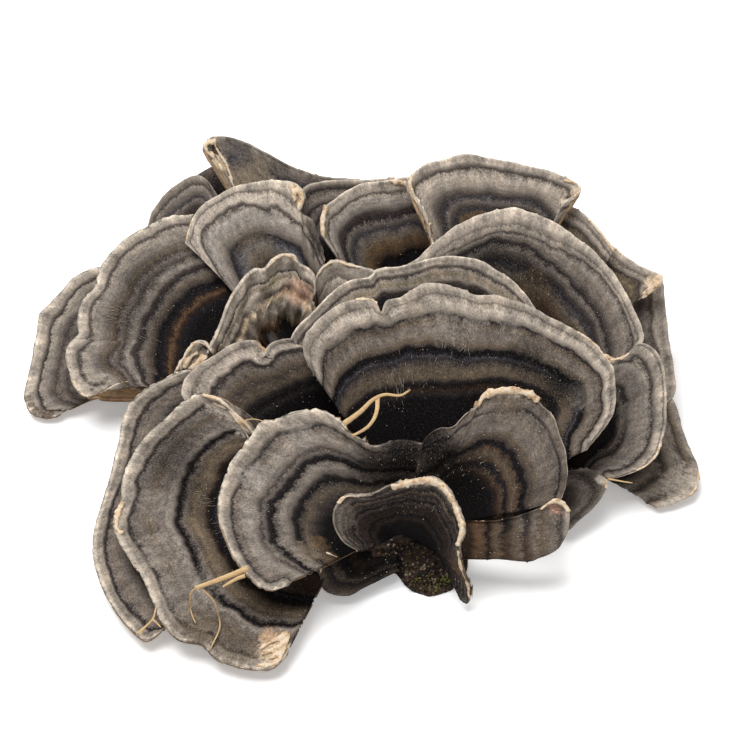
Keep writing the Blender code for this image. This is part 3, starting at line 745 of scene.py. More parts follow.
capFrontLeft = {
    "node": "cap_front_left",
    "root": (3, -3, 10),
    "rim": [(10, 12.3, 21.5), (5, 13.3, 23), (0, 12, 24), (-3, 13.7, 25.5), (-6, 15.5, 26.5),
            (-8.5, 18.2, 28), (-12, 19.4, 28.5), (-16, 18.8, 28), (-20, 17.4, 27),
            (-22.7, 16.8, 26.5), (-24.5, 14.2, 25.5), (-27, 11, 24.5), (-29.3, 7.3, 23.5),
            (-30.6, 3.5, 22.5), (-31.2, 0, 21.5), (-30.5, -4, 20.5), (-29, -8, 19),
            (-27.3, -11.2, 18), (-24.8, -14, 16.5), (-22.5, -16, 15.5), (-20, -16.4, 15),
            (-17.6, -15.3, 15)],
    "lips": [((-28.5, 9), 6, 0.2)],
    "stains": [(-13.5, -9, 3.0, "ochreTan", 0.6), (-28.5, -12, 1.8, "paleTan", 0.6),
               (-7.5, -12.2, 2.4, "ochre", 0.8), (-11, -7.6, 2.2, "ochre", 0.8),
               (-24, 6, 3, "paleGrey", 0.6), (-25, -2, 2.5, "paleGrey", 0.5),
               (-15, 14.5, 3, "paleGrey", 0.45), (-21, -10, 3, "grey", 0.5)],
    "lines": {8: [(0.1, 16), (0.37, 13.5), (0.5, 9.5), (0.62, 7.8), (0.85, 3.6)],
              33: [(0.37, 38), (0.62, 33), (0.84, 25.5)],
              47: [(0.37, 50), (0.62, 46.5), (0.84, 41.5)],
              65: [(0.37, 66), (0.62, 65), (0.84, 59)]},
    "paintedShade": [(6, 12, 7, 1.0), (5, 8, 8, 0.95), (-1, 8, 6, 0.8), (-6, -10, 6, 0.5)],
    "zones": [(0, "ivory"), (0.7, "cream"), (1.6, "paleTan"), (3, "tan"), (5.2, "tan"),
              (6.8, "mid"), (8, "charcoal"), (9.5, "mid"), (12, "taupe"), (16, "grey"),
              (20, "grey"), (23, "mid"), (25, "dark"), (27.5, "mid"), (30, "charcoal"),
              (33, "black"), (35.3, "mid"), (38, "grey"), (42, "mid"), (44.5, "charcoal"),
              (47, "black"), (49.5, "dark"), (53, "brownGrey"), (57, "dark"), (61, "charcoal"),
              (65, "black"), (100, "black")],
}
makeCap("capFrontLeft", capFrontLeft)

capFrontLow = {
    "node": "cap_front_low",
    "root": (2, -7, 7),
    "rim": [(-10.8, -9.5, 10), (-11, -13, 7), (-10, -16.2, 4.5), (-7.8, -17.4, 3.5), (-5, -17.5, 3),
            (-2.2, -15.9, 3), (0.8, -14.3, 3), (4, -12.8, 3.5)],
    "arch": 0.8,
    "paintedShade": [(0, -12, 8, 0.8), (-8, -10, 5, 0.6)],
    "stains": [(-7, -13.5, 1.3, "taupe", 0.6), (-3, -12, 1.6, "brown", 0.6)],
    "zones": [(0, "mid"), (5, "brownGrey"), (10, "dark"), (16, "charcoal"), (22, "brownGrey"),
              (28, "charcoal"), (38, "black"), (50, "darkBrown"), (60, "black"), (100, "black")],
}
makeCap("capFrontLow", capFrontLow)

capRightSmall = {
    "node": "cap_right_small",
    "root": (28, -1, 5.5),
    "rim": [(37.5, 7.3, 11), (41, 7.8, 11.5), (43.6, 7.5, 11), (45.8, 5.8, 10), (46.4, 4.2, 9),
            (45.2, 1.6, 7.5), (43.5, -0.5, 6.5), (41.2, -2.4, 5.5), (39, -4.6, 4.5)],
    "arch": 0.8,
    "lips": [((46.2, 5.5), 1.5, 0.6)],
    "zones": [(0, "tan"), (5, "mid"), (12, "dark"), (20, "mid"), (30, "dark"), (42, "charcoal"),
              (55, "black"), (100, "black")],
}
makeCap("capRightSmall", capRightSmall)

capLeftFront = {
    "node": "cap_left_front",
    "root": (-9, 0, 9),
    "rim": [(-32, 22, 28), (-35, 22.6, 27.5), (-38.5, 20.6, 25.5), (-42, 17.3, 22.5),
            (-45.5, 14.2, 20), (-48.5, 9.8, 17.5), (-50.2, 5.5, 15.5), (-50.4, 2, 14),
            (-51.6, -1.5, 12.5), (-52, -4, 11.5), (-50.6, -7.5, 10.5), (-48, -11.5, 9.5),
            (-46, -14.7, 9), (-44.4, -18.5, 8), (-42.6, -22.5, 7), (-39.5, -26.2, 6),
            (-35, -27.3, 5.5), (-33.6, -28.3, 5), (-31.5, -30.2, 4.5), (-28, -31.6, 4),
            (-24, -32.4, 3.5), (-20.4, -32, 3.5), (-18, -29.8, 4)],
    "lips": [((-33, 22.3), 5, 0.3), ((-52.3, -3.5), 2.5, 0.3), ((-22, -32), 4, 0.3)],
    "stains": [(-20.5, -28.6, 3.4, "butter", 0.85), (-21, -26, 2.2, "biscuit", 0.8),
               (-36, -23, 5, "ochreGrey", 0.6), (-28, -28.5, 5, "brownGrey", 0.7),
               (-35, -27, 3, "brownGrey", 0.8), (-38, -17, 6, "grey", 0.6),
               (-43, -9, 4.5, "tan", 0.5), (-44, 1, 3.5, "grey", 0.5),
               (-31, 20.6, 2.6, "paleTan", 0.85), (-28.4, 18.6, 2.2, "paleTan", 0.85),
               (-26.2, 15.8, 1.8, "cream", 0.8)],
    "lines": {6.5: [(0.1, 9), (0.26, 7), (0.46, 5.2), (0.78, 6)],
              26.5: [(0.15, 32), (0.26, 29.5), (0.46, 26.5), (0.78, 25.5)],
              42: [(0.26, 45.5), (0.46, 41), (0.78, 43)]},
    "wrap": 1.6,
    "paintedShade": [(-22, -18, 7, 0.5), (-14, -18, 6, 0.85), (-40, 10, 9, 0.6), (-36, 2, 6, 0.4)],
    "zones": [(0, "ivory"), (0.7, "cream"), (1.6, "paleTan"), (3, "tan"), (5, "tan"), (6, "dark"),
              (6.8, "charcoal"), (8, "mid"), (11, "mid"), (14, "brownGrey"), (17, "mid"),
              (20, "mid"), (22, "grey"), (23.4, "grey"), (24.8, "dark"), (25.8, "black"),
              (26.8, "black"), (28, "dark"), (29.5, "mid"), (31.5, "brownGrey"), (34, "ochreGrey"),
              (37.5, "brownGrey"), (39.5, "darkBrown"), (41, "black"), (43.5, "blueBlack"),
              (45, "slate"), (47, "black"), (49, "brownGrey"), (56, "brown"), (62, "dark"),
              (70, "black"), (100, "black")],
}
makeCap("capLeftFront", capLeftFront)

capLeftOuter = {
    "node": "cap_left_outer",
    "root": (-16, 6, 6.5),
    "rim": [(-37, 27.4, 21.5), (-40, 26.6, 21), (-44.5, 24.3, 19.5), (-48.2, 21.4, 17),
            (-50, 18, 14.5), (-50.8, 14, 12.5), (-51.7, 10, 10.5), (-53, 5, 8.5), (-54.6, 0, 7),
            (-56, -5.5, 5.5), (-56, -10.5, 4.5), (-54.5, -15.5, 4.4), (-52.3, -19.8, 4),
            (-50, -23, 3.8), (-47.5, -25.5, 3.8), (-45.6, -26.6, 3.8), (-43, -25, 4)],
    "arch": 1.0,
    "lips": [((-44, 24.5), 6, 0.5)],
    "lines": {5.5: [(0.2, 8.5), (0.5, 6), (0.78, 5.3)]},
    "zones": [(0, "ivory"), (0.8, "cream"), (1.6, "tan"), (3.8, "tan"), (4.7, "dark"),
              (5.6, "charcoal"), (6.8, "mid"), (10, "taupe"), (14, "mid"), (18, "dark"),
              (22, "charcoal"), (26, "mid"), (31, "charcoal"), (36, "mid"), (44, "black"),
              (100, "black")],
}
makeCap("capLeftOuter", capLeftOuter)

capCentre = {
    "node": "cap_centre",
    "root": (12, 6, 10),
    "rim": [(-12, 26.4, 24.5), (-14.2, 30.5, 27.6), (-14, 34.2, 30.5), (-11.8, 37, 32.5),
            (-9, 39.5, 34), (-6, 41, 35), (-3, 41.7, 35.5), (0, 41.3, 35.3), (1, 38.6, 34),
            (2.2, 41.2, 35.5), (5, 42, 36), (7.5, 43.6, 37), (10, 44.8, 37.5), (13, 44.8, 37.5),
            (17, 43.6, 37), (20.5, 42.4, 36.5), (24, 42.4, 36.5), (27.5, 41.3, 36), (31, 40.2, 35),
            (34.5, 38.2, 34), (37.5, 36.8, 33), (41, 34.8, 31.5), (44, 32.8, 30.5), (46, 30, 29),
            (47.8, 28, 28), (48.2, 24, 26), (48.1, 20, 24), (46.8, 17, 22.5), (44.8, 14.4, 21),
            (42.3, 11.4, 19.5)],
    "arch": 3.0,
    "neck": 0.45,
    "lips": [((0, 41), 4, 0.2), ((-13, 33), 4, 0.2), ((45, 31), 4, 0.25)],
    "lines": {13.5: [(0.2, 15), (0.35, 14), (0.5, 13.2), (0.64, 9), (0.8, 6.8)],
              31: [(0.2, 32), (0.5, 31), (0.64, 22), (0.8, 16)],
              50: [(0.2, 53), (0.5, 49), (0.64, 38), (0.8, 30)]},
    "turn": 2.4,
    "paintedShade": [(31, 29.5, 6, 0.6), (36.5, 24, 6, 0.85)],
    "stains": [(20, 38, 3, "grey", 0.5), (8, 39.5, 3, "taupe", 0.5), (-7, 34, 3, "taupe", 0.4),
               (27, 36, 2.5, "grey", 0.45), (2, 35.6, 3.4, "dark", 0.45),
               (14, 36.4, 4, "grey", 0.5), (33, 31.6, 3, "taupe", 0.5), (41, 22, 3, "grey", 0.4),
               (-9, 31, 3, "dark", 0.4)],
    "fade": 7,
    "zones": [(0, "cream"), (1.2, "paleTan"), (2.4, "tan"), (3.4, "tan"), (4.2, "mid"),
              (5.2, "tan"), (8, "paleTan"), (10.5, "tan"), (12.3, "mid"), (13.3, "black"),
              (14.5, "dark"), (16.5, "brownGrey"), (20, "mid"), (24, "taupe"), (27, "brownGrey"),
              (29, "dark"), (30, "black"), (32, "black"), (33.5, "blueBlack"), (35, "slate"),
              (36.5, "charcoal"), (38.5, "dark"), (42, "brownGrey"), (46.5, "brownGrey"),
              (48.5, "charcoal"), (50.5, "black"), (53.5, "darkBrown"), (56, "charcoal"),
              (58, "black"), (100, "black")],
}
makeCap("capCentre", capCentre)

capCentreLeft = {
    "node": "cap_centre_left",
    "root": (-8, 14, 9),
    "rim": [(-37.6, 20.5, 20.5), (-38.6, 23, 22), (-37.8, 26, 23.5), (-35, 28.6, 24.5),
            (-31.8, 30.6, 25.5), (-29, 32.4, 26.5), (-26, 33.3, 27), (-23.5, 33, 26.5),
            (-22.3, 30, 25), (-21.3, 32.6, 26.3), (-18.5, 33.6, 27), (-15, 33.8, 27),
            (-12, 34.5, 27)],
    "lips": [((-22.5, 31), 3, 0.5), ((-38.6, 23), 3, 0.5)],
    "lines": {13.5: [(0.25, 15.5), (0.5, 13), (0.7, 10)]},
    "fade": 7,
    "zones": [(0, "cream"), (1, "paleTan"), (3.5, "tan"), (4.5, "mid"), (5.6, "tan"),
              (11, "paleTan"), (12.5, "mid"), (13.5, "charcoal"), (16, "dark"), (19, "mid"),
              (25, "brownGrey"), (29, "dark"), (36, "brownGrey"), (41, "charcoal"), (45, "black"),
              (50, "charcoal"), (55, "black"), (100, "black")],
}
makeCap("capCentreLeft", capCentreLeft)

capCentreBack = {
    "node": "cap_centre_back",
    "root": (12, 20, 7),
    "rim": [(-17, 33.5, 27.5), (-15.5, 36, 29), (-13, 38.5, 30), (-10, 41.6, 31.5), (-7, 44.2, 33),
            (-4, 45.5, 33.5), (-1, 46, 34), (0.2, 47.5, 34.8), (3.5, 47.9, 35), (8, 48.8, 35.5),
            (12, 49.9, 36), (17, 50, 36), (21, 49.3, 35.5), (24, 47.6, 34.5), (27.2, 45.5, 33),
            (30, 42.6, 31), (32, 40, 29.5), (33.4, 38, 28)],
    "arch": 1.5,
    "lips": [((0, 47.5), 3, 0.5)],
    "zones": [(0, "ivory"), (0.7, "cream"), (2, "paleTan"), (4, "paleTan"), (5.4, "mid"),
              (6.3, "dark"), (8, "tan"), (11, "ochreTan"), (13.5, "tan"), (16, "dark"),
              (19, "charcoal"), (30, "black"), (100, "black")],
}
makeCap("capCentreBack", capCentreBack)

capHairy = {
    "node": "cap_hairy",
    "root": (-19, 30, 9),
    "rim": [(-33.6, 30.5, 21), (-32, 34, 23), (-30.7, 37.5, 25), (-29.6, 40.5, 27),
            (-28.2, 43.3, 28.5), (-26.2, 46, 30), (-24, 47.6, 31), (-22, 47.8, 31),
            (-20.3, 49.6, 32), (-18.3, 50.6, 32.5), (-16, 50.3, 32.5), (-14.9, 48.6, 31.5),
            (-13, 47.6, 31), (-11.8, 46, 30), (-11.5, 43, 28)],
    "arch": 1.0,
    "crumple": 1.0,
    "lips": [((-18, 50.5), 5, 0.5), ((-24, 47.6), 4, 0.4)],
    "stains": [(-15, 42.8, 3.3, "redBrown", 0.8), (-22, 35.8, 2.8, "rust", 0.6),
               (-17.6, 36, 2.4, "brown", 0.8), (-24, 41, 3, "cream", 0.5),
               (-20, 40, 2.5, "cream", 0.6), (-20.5, 45.2, 1.8, "sprout", 0.2)],
    "zones": [(0, "cream"), (5, "cream"), (9, "paleTan"), (11, "tan"), (12.6, "charcoal"),
              (14, "paleTan"), (17, "ochreTan"), (22, "cream"), (25, "paleTan"), (27.5, "mid"),
              (30, "ochreTan"), (33, "butter"), (40, "cream"), (48, "paleTan"), (58, "ochreTan"),
              (68, "umber"), (80, "brown"), (100, "darkBrown")],
}
makeCap("capHairy", capHairy)

capHairySide = {
    "node": "cap_hairy_side",
    "root": (-7, 30, 11),
    "rim": [(-12.2, 44.5, 27.5), (-11.8, 46.3, 28.5), (-10.2, 48.2, 30), (-8, 49.4, 31),
            (-6, 48.9, 31), (-3, 48, 31), (-1.3, 47.6, 31), (0.5, 47, 30.5)],
    "arch": 0.8,
    "crumple": 0.4,
    "lips": [((-8, 49), 4, 0.5)],
    "zones": [(0, "cream"), (8, "paleTan"), (13, "tan"), (16, "mid"), (19, "paleTan"), (28, "tan"),
              (40, "mid"), (60, "dark"), (100, "black")],
}
makeCap("capHairySide", capHairySide)

capLeftFold = {
    "node": "cap_left_fold",
    "root": (-28, 22, 11),
    "rim": [(-40.3, 26.5, 18.5), (-39, 29, 20), (-37.5, 31.5, 21.5), (-35.8, 33.2, 22.5),
            (-34, 33.2, 22.5), (-32.8, 31.5, 22)],
    "arch": 0.8,
    "crumple": 1.1,
    "lips": [((-38, 31), 4, 0.7)],
    "zones": [(0, "cream"), (6, "tan"), (10, "brownGrey"), (16, "tan"), (22, "ochreTan"),
              (28, "brown"), (36, "tan"), (60, "darkBrown"), (100, "black")],
}
makeCap("capLeftFold", capLeftFold)

capRight = {
    "node": "cap_right",
    "root": (34, 12, 7),
    "rim": [(42, 29, 22), (46, 30.4, 24), (49, 29.7, 24.5), (51.2, 31, 26), (53.2, 32.8, 27.5),
            (55.2, 32, 27), (56.8, 30.3, 26), (57.8, 27.5, 24.5), (58.2, 24, 22), (58.3, 20, 19.5),
            (57.9, 15.5, 16.5), (57, 12, 14.5), (55.7, 9.6, 13), (54, 8, 12), (51, 6.7, 11),
            (48, 5.9, 10), (45.5, 6, 9.5)],
    "lips": [((53.5, 32.8), 2.5, 0.25), ((56.3, 10), 2.5, 0.3)],
    "stains": [(46, 29.4, 1.6, "butter", 0.6), (52, 18, 4, "grey", 0.4)],
    "zones": [(0, "cream"), (1.1, "paleTan"), (2, "mid"), (2.9, "paleTan"), (6, "tan"), (8, "mid"),
              (9.5, "charcoal"), (11, "mid"), (13, "grey"), (20, "mid"), (26, "mid"),
              (29, "charcoal"), (31.5, "dark"), (34, "mid"), (36.5, "dark"), (39, "blueBlack"),
              (44, "charcoal"), (50, "darkBrown"), (60, "black"), (100, "black")],
}
makeCap("capRight", capRight)

capRightDome = {
    "node": "cap_right_dome",
    "root": (27, 22, 8),
    "rim": [(6.5, 48.6, 28), (8.8, 50, 29.5), (12, 53.2, 32), (16, 56.2, 34.5), (20, 58.2, 36.5),
            (24, 59.4, 37.8), (28, 59.8, 38.3), (32, 58.6, 38), (36, 56.9, 37.3), (40, 54.1, 36),
            (44, 50.9, 34), (47, 47.6, 32), (50, 43.2, 29.5), (52, 39.2, 27.5), (53.4, 35.6, 25.5),
            (53.5, 32.8, 24), (51.5, 30, 22)],
    "arch": 2.5,
    "lips": [((52.5, 32), 3, 0.6)],
    "lines": {7: [(0.15, 12.5), (0.42, 11.8), (0.55, 9.5), (0.7, 7)],
              22: [(0.3, 15), (0.45, 17), (0.7, 24)],
              29: [(0.3, 25), (0.45, 27), (0.7, 32)]},
    "paintedShade": [(28, 47.5, 9, 0.6), (21, 50, 7, 0.55), (34, 43, 6, 0.4)],
    "stains": [(31.5, 44, 4.2, "ochre", 0.7), (34.5, 40, 3, "brown", 0.6)],
    "zones": [(0, "ivory"), (0.8, "cream"), (2, "paleTan"), (3.5, "tan"), (4.2, "mid"), (5, "tan"),
              (5.8, "tan"), (7, "dark"), (8.3, "mid"), (11, "grey"), (14, "taupe"), (17, "mid"),
              (20, "dark"), (22, "charcoal"), (24.5, "mid"), (27, "dark"), (29, "charcoal"),
              (31, "slate"), (33, "dark"), (35, "mid"), (37, "brownGrey"), (40, "brown"),
              (43, "darkBrown"), (46, "black"), (100, "black")],
}
makeCap("capRightDome", capRightDome)

capUpperRight = {
    "node": "cap_upper_right",
    "root": (22, 32, 8),
    "rim": [(11.7, 51.5, 29.5), (11.2, 54, 31.5), (10, 57.5, 34.5), (8.4, 61, 37),
            (6.6, 64.3, 39.3), (7.6, 66.6, 40), (10, 68.4, 41), (14, 69.7, 42), (18, 70.6, 42.5),
            (22, 70.1, 42.3), (27, 69, 41.5), (32, 68, 41), (37, 66.4, 40), (40, 65.1, 39),
            (41.2, 63.6, 38.2), (39.6, 62, 37.4), (37.4, 60.9, 36.8)],
    "arch": 1.5,
    "lips": [((6.8, 65), 3.5, 0.3), ((8.5, 60.5), 5, 0.3)],
    "stains": [(39.6, 63.2, 1.0, "butter", 0.45), (37.6, 61.2, 1.0, "butter", 0.45),
               (10, 57, 1.6, "butter", 0.5)],
    "zones": [(0, "ivory"), (0.8, "cream"), (3, "paleTan"), (4.6, "mid"), (5.4, "dark"),
              (6.8, "tan"), (9, "paleTan"), (13.5, "tan"), (16, "mid"), (18, "dark"), (20, "slate"),
              (22.5, "mid"), (25, "dark"), (27, "slate"), (29, "ochre"), (32, "brown"),
              (35, "charcoal"), (40, "black"), (100, "black")],
}
makeCap("capUpperRight", capUpperRight)

capUpperMiddle = {
    "node": "cap_upper_middle",
    "root": (6, 36, 9),
    "rim": [(-10.8, 54.4, 31.5), (-10.9, 57, 33), (-10.2, 59.8, 34.5), (-8, 61.7, 35.5),
            (-5, 63.6, 36.5), (-3, 64.6, 37), (0, 65, 37.3), (3.5, 65.5, 37.5), (6, 66, 37.3),
            (10, 66, 36.5), (14, 64, 34.5)],
    "arch": 1.0,
    "lips": [((-10.6, 58), 3, 0.3)],
    "wrap": 1.3,
    "wander": 1.3,
    "zones": [(0, "ivory"), (1, "cream"), (5.5, "paleTan"), (7.6, "dark"), (9, "tan"),
              (12, "paleGrey"), (15, "grey"), (18, "dark"), (22, "charcoal"), (25, "mid"),
              (29, "slate"), (33, "mid"), (36, "ochreGrey"), (40, "ochre"), (44, "brown"),
              (47, "black"), (52, "blueBlack"), (100, "black")],
}
makeCap("capUpperMiddle", capUpperMiddle)

capUpperLeft = {
    "node": "cap_upper_left",
    "root": (-14, 27, 9),
    "rim": [(-38, 52.8, 30), (-37.2, 55.3, 31.5), (-36.6, 57.6, 33), (-34.6, 60.2, 35),
            (-31, 62.6, 37), (-27, 64.4, 38.5), (-23, 65.1, 39), (-20, 65.4, 39.3), (-17, 65.1, 39),
            (-15, 64.1, 38.5), (-14.2, 62.3, 37), (-15.4, 60, 35), (-14.2, 58.4, 33),
            (-12.2, 57, 30.5), (-11, 53.5, 27.5), (-10, 50, 25)],
    "lips": [((-14.3, 62.6), 2, 0.5)],
    "lines": {3.6: [(0.3, 2.5), (0.42, 4), (0.5, 4), (0.6, 8)],
              10.5: [(0.28, 8.5), (0.42, 11.3), (0.5, 12), (0.6, 13.5)],
              25: [(0.33, 24), (0.55, 26)]},
    "wrap": 1.3,
    "bow": (1.5, 0),
    "fade": 7,
    "stains": [(-12.6, 55.5, 2.2, "mid", 0.8), (-11.8, 52, 2.5, "dark", 0.8),
               (-24, 52, 4, "ochreGrey", 0.5)],
    "wander": 1.2,
    "zones": [(0, "ivory"), (1, "cream"), (2.5, "paleTan"), (3.6, "mid"), (4.6, "paleTan"),
              (8.5, "paleTan"), (9.6, "mid"), (10.5, "dark"), (12, "grey"), (14, "paleGrey"),
              (20, "grey"), (23, "mid"), (25, "charcoal"), (27.5, "slate"), (30, "blueGrey"),
              (33, "mid"), (36, "brownGrey"), (40, "charcoal"), (45, "black"), (100, "black")],
}
makeCap("capUpperLeft", capUpperLeft)

capRightBack = {
    "node": "cap_right_back",
    "root": (32, 31, 7),
    "rim": [(34.5, 60.3, 33), (37, 60.6, 33.3), (40, 59.8, 33.3), (43, 57.4, 32),
            (45.6, 54.4, 30.5), (47.8, 51.4, 29)],
    "arch": 1.0,
    "lips": [((47, 52), 2.5, 0.3)],
    "zones": [(0, "ivory"), (1, "cream"), (2.5, "paleTan"), (4.5, "mid"), (6, "paleTan"),
              (8, "tan"), (10, "dark"), (12.5, "brownGrey"), (16, "mid"), (20, "dark"),
              (24, "brown"), (30, "charcoal"), (45, "black"), (100, "black")],
}
makeCap("capRightBack", capRightBack)

capRightBackLow = {
    "node": "cap_right_back_low",
    "root": (33, 29, 6),
    "rim": [(46, 52.5, 26), (48, 51.8, 26), (50.2, 50.2, 25.5), (53, 48.3, 24.5), (55.5, 47.2, 24),
            (57.2, 46.3, 23.5), (57.4, 45.4, 23), (55.8, 43.8, 21.5), (54, 42.2, 20)],
    "arch": 1.0,
    "lips": [((57, 45.5), 3, 0.35)],
    "stains": [(56, 45, 2.2, "butter", 0.8)],
    "zones": [(0, "ivory"), (1, "cream"), (3, "paleTan"), (5.5, "mid"), (7, "tan"), (9, "tan"),
              (11, "dark"), (14, "brownGrey"), (18, "ochreGrey"), (22, "dark"), (28, "brown"),
              (34, "charcoal"), (45, "black"), (100, "black")],
}
makeCap("capRightBackLow", capRightBackLow)

capRightStrip = {
    "node": "cap_right_strip",
    "root": (36, 22, 5),
    "rim": [(56, 46, 18), (57.6, 45, 18), (57.9, 42, 16.5), (58.3, 38, 14.5), (58.9, 33, 12.5),
            (59.8, 28, 11), (60.1, 25, 10), (59.8, 22.5, 9.5), (58.6, 21, 9)],
    "arch": 1.0,
    "zones": [(0, "paleTan"), (4, "grey"), (9, "tan"), (11.5, "dark"), (15, "mid"), (22, "dark"),
              (30, "mid"), (40, "charcoal"), (60, "black"), (100, "black")],
}
makeCap("capRightStrip", capRightStrip)

capRightLow = {
    "node": "cap_right_low",
    "root": (38, 15, 4),
    "rim": [(57, 25, 10), (59.5, 21.5, 8.5), (60.4, 19.8, 8), (61.3, 16.5, 7), (62.3, 13.5, 6),
            (63.7, 10.6, 5), (64.7, 8, 4), (64.8, 5, 3.2), (63.8, 2.8, 2.6), (61, 1.2, 2.2),
            (58, 0.1, 2), (56.3, -0.2, 2)],
    "arch": 0.8,
    "lips": [((60, 1), 5, 0.5)],
    "stains": [(62, 4, 5.5, "paleTan", 0.9)],
    "zones": [(0, "paleTan"), (4, "tan"), (8, "ochreGrey"), (10, "dark"), (14, "grey"), (20, "tan"),
              (26, "dark"), (32, "grey"), (42, "charcoal"), (60, "black"), (100, "black")],
}
makeCap("capRightLow", capRightLow)

capFarLeft = {
    "node": "cap_far_left",
    "root": (-25, 25, 9),
    "rim": [(-36.5, 58.2, 30.5), (-40, 58, 31), (-42, 57.6, 31), (-45, 56.2, 30), (-48, 54.6, 28.5),
            (-50, 53.2, 27.5), (-52, 51.2, 26), (-54.2, 48.5, 24), (-55.2, 46, 22.5),
            (-55.8, 43.9, 21), (-57.4, 42.2, 20), (-58.7, 40, 18.5), (-59.2, 37, 17),
            (-58.9, 34.6, 16), (-60, 33.4, 15.5), (-61.3, 31.8, 14.8), (-61.5, 29.5, 13.8),
            (-60.8, 26.6, 12.6), (-59.7, 23.8, 11.6), (-58.2, 22.3, 11), (-56.4, 22.5, 11),
            (-54.2, 23.6, 11.4), (-52.4, 25, 12), (-49.5, 26, 12.4), (-47, 26.6, 12.5)],
    "creases": [((-50, 33), (-60.5, 33.2), 1.2, -0.07)],
    "margin": (0, 0.88),
    "shift": [(0, 0), (0.87, 0), (1, 0.4)],
    "wander": 0.9,
    "paintedShade": [(-47, 46, 8, 0.35), (-52, 37, 6, 0.3), (-46, 38, 8, 0.3), (-58.5, 26.3, 0.8, 0.6),
              (-57.9, 25.5, 0.8, 0.7), (-57.1, 24.9, 0.8, 0.7), (-56.2, 24.5, 0.8, 0.7),
              (-55.3, 24.5, 0.8, 0.7), (-54.4, 24.9, 0.8, 0.7), (-53.6, 25.5, 0.8, 0.6)],
    "stains": [(-55.3, 25, 2.4, "tan", 0.95), (-57.6, 24.6, 1.8, "paleTan", 0.7)],
    "zones": [(0, "ivory"), (0.8, "cream"), (1.6, "paleTan"), (4, "tan"), (5.2, "dark"),
              (6.2, "mid"), (7.5, "tan"), (12, "grey"), (15, "mid"), (18, "brownGrey"),
              (20, "dark"), (22.5, "mid"), (25, "dark"), (27, "mid"), (29, "grey"), (30.5, "grey"),
              (32, "dark"), (34.5, "charcoal"), (37, "mid"), (39.5, "brownGrey"), (41.5, "dark"),
              (44, "black"), (47, "blueBlack"), (49, "darkBrown"), (51, "umber"), (53, "darkBrown"),
              (55.5, "blueBlack"), (60, "black"), (100, "black")],
}
makeCap("capFarLeft", capFarLeft)

capFarLeftUnder = {
    "node": "cap_far_left_under",
    "root": (-33, 25, 5),
    "rim": [(-58.6, 24.4, 8.4), (-57.6, 22.6, 8), (-55, 22, 7.7), (-51, 21.8, 7.5), (-47, 22, 7.4),
            (-43, 22.4, 7.2)],
    "arch": 0.5,
    # Its pale buff is partly its own colour and partly painted light, making up for the shade of
    # the cap above it.
    "zones": [(0, "biscuit"), (3, "buff"), (60, "buff"), (80, "buff"), (100, "umber")],
}
makeCap("capFarLeftUnder", capFarLeftUnder)

capFarLeftOuter = {
    "node": "cap_far_left_outer",
    "root": (-33, 28, 4.5),
    "rim": [(-52, 47.5, 17), (-55, 47.8, 17), (-57.6, 47.1, 16.5), (-60, 45.8, 15.5),
            (-62.2, 43.4, 14), (-65, 40.4, 12), (-66.9, 38.4, 10.5), (-67.3, 35, 8.5),
            (-67.9, 32, 7), (-68.6, 28, 5), (-69.6, 23.6, 3.3), (-69.9, 21.5, 2.8),
            (-68.6, 19, 2.3), (-66, 18, 2), (-64, 18.2, 2.1)],
    "arch": 1.0,
    "bow": (0, 3),
    "lips": [((-68.5, 19.5), 4, 0.25), ((-65, 18), 2, 0.25)],
    "wander": 1.7,
    "stains": [(-69.6, 21.6, 0.9, "brown", 0.8), (-68.9, 20.1, 1.0, "brown", 0.85),
               (-67.9, 19, 1.0, "brown", 0.85), (-66.9, 18.5, 1.0, "brown", 0.85),
               (-65.8, 18.3, 1.0, "brown", 0.85), (-64.6, 18.5, 0.9, "brown", 0.8)],
    "zones": [(0, "ivory"), (0.8, "cream"), (2, "paleTan"), (5, "tan"), (6.2, "mid"),
              (7.5, "charcoal"), (9, "tan"), (12, "grey"), (14, "mid"), (17, "dark"), (20, "mid"),
              (23, "dark"), (27, "mid"), (31, "charcoal"), (36, "dark"), (42, "charcoal"),
              (50, "black"), (100, "black")],
}
makeCap("capFarLeftOuter", capFarLeftOuter)

capTop = {
    "node": "cap_top",
    "root": (-12, 33, 7),
    "rim": [(-27.4, 61.6, 34.4), (-29.2, 65, 36.8), (-30.6, 68, 38.8), (-32.2, 70.4, 40.3),
            (-34, 71.4, 41), (-34.2, 72.6, 41.7), (-32.8, 73.9, 42.5), (-30, 74.1, 42.7),
            (-27, 73.4, 42.3), (-22, 71, 41), (-17, 68.4, 39.3), (-12, 66.5, 38), (-8, 65.7, 37),
            (-3, 65.6, 36.7)],
    "arch": 1.0,
    "lips": [((-33.5, 72.5), 3, 0.4)],
    "margin": (0.2, 1),
    # The black spot is painted shade, in the slit under the curled tip.
    "stains": [(-31, 68.6, 1.8, "butter", 0.8), (-29.4, 65.4, 1.8, "ochreTan", 0.9),
               (-24.5, 66.5, 4.5, "ochreTan", 0.7), (-31.9, 71.2, 1.1, "black", 1.0),
               (-27, 70.6, 3, "slate", 0.6)],
    "zones": [(0, "tan"), (1.5, "grey"), (4, "mid"), (7, "mid"), (9, "slate"), (12, "mid"),
              (15, "taupe"), (20, "ochreTan"), (24, "taupe"), (28, "mid"), (34, "dark"),
              (45, "black"), (100, "black")],
}
makeCap("capTop", capTop)

capUpperFarLeft = {
    "node": "cap_upper_far_left",
    "root": (-28, 32, 9),
    "rim": [(-45.5, 56, 26.5), (-44.9, 58.5, 28), (-43.8, 60.5, 29), (-42, 62.6, 30.3),
            (-40, 64.4, 31.5), (-37, 66.1, 32.8), (-35, 66.3, 33), (-33.4, 65.2, 32.5),
            (-32, 63.2, 31.5), (-30, 60, 29.5)],
    "arch": 1.0,
    "zones": [(0, "paleTan"), (1.5, "tan"), (4, "mid"), (5, "dark"), (6.5, "grey"), (9, "mid"),
              (12, "slate"), (14, "mid"), (17, "dark"), (22, "charcoal"), (40, "black"),
              (100, "black")],
}
makeCap("capUpperFarLeft", capUpperFarLeft)

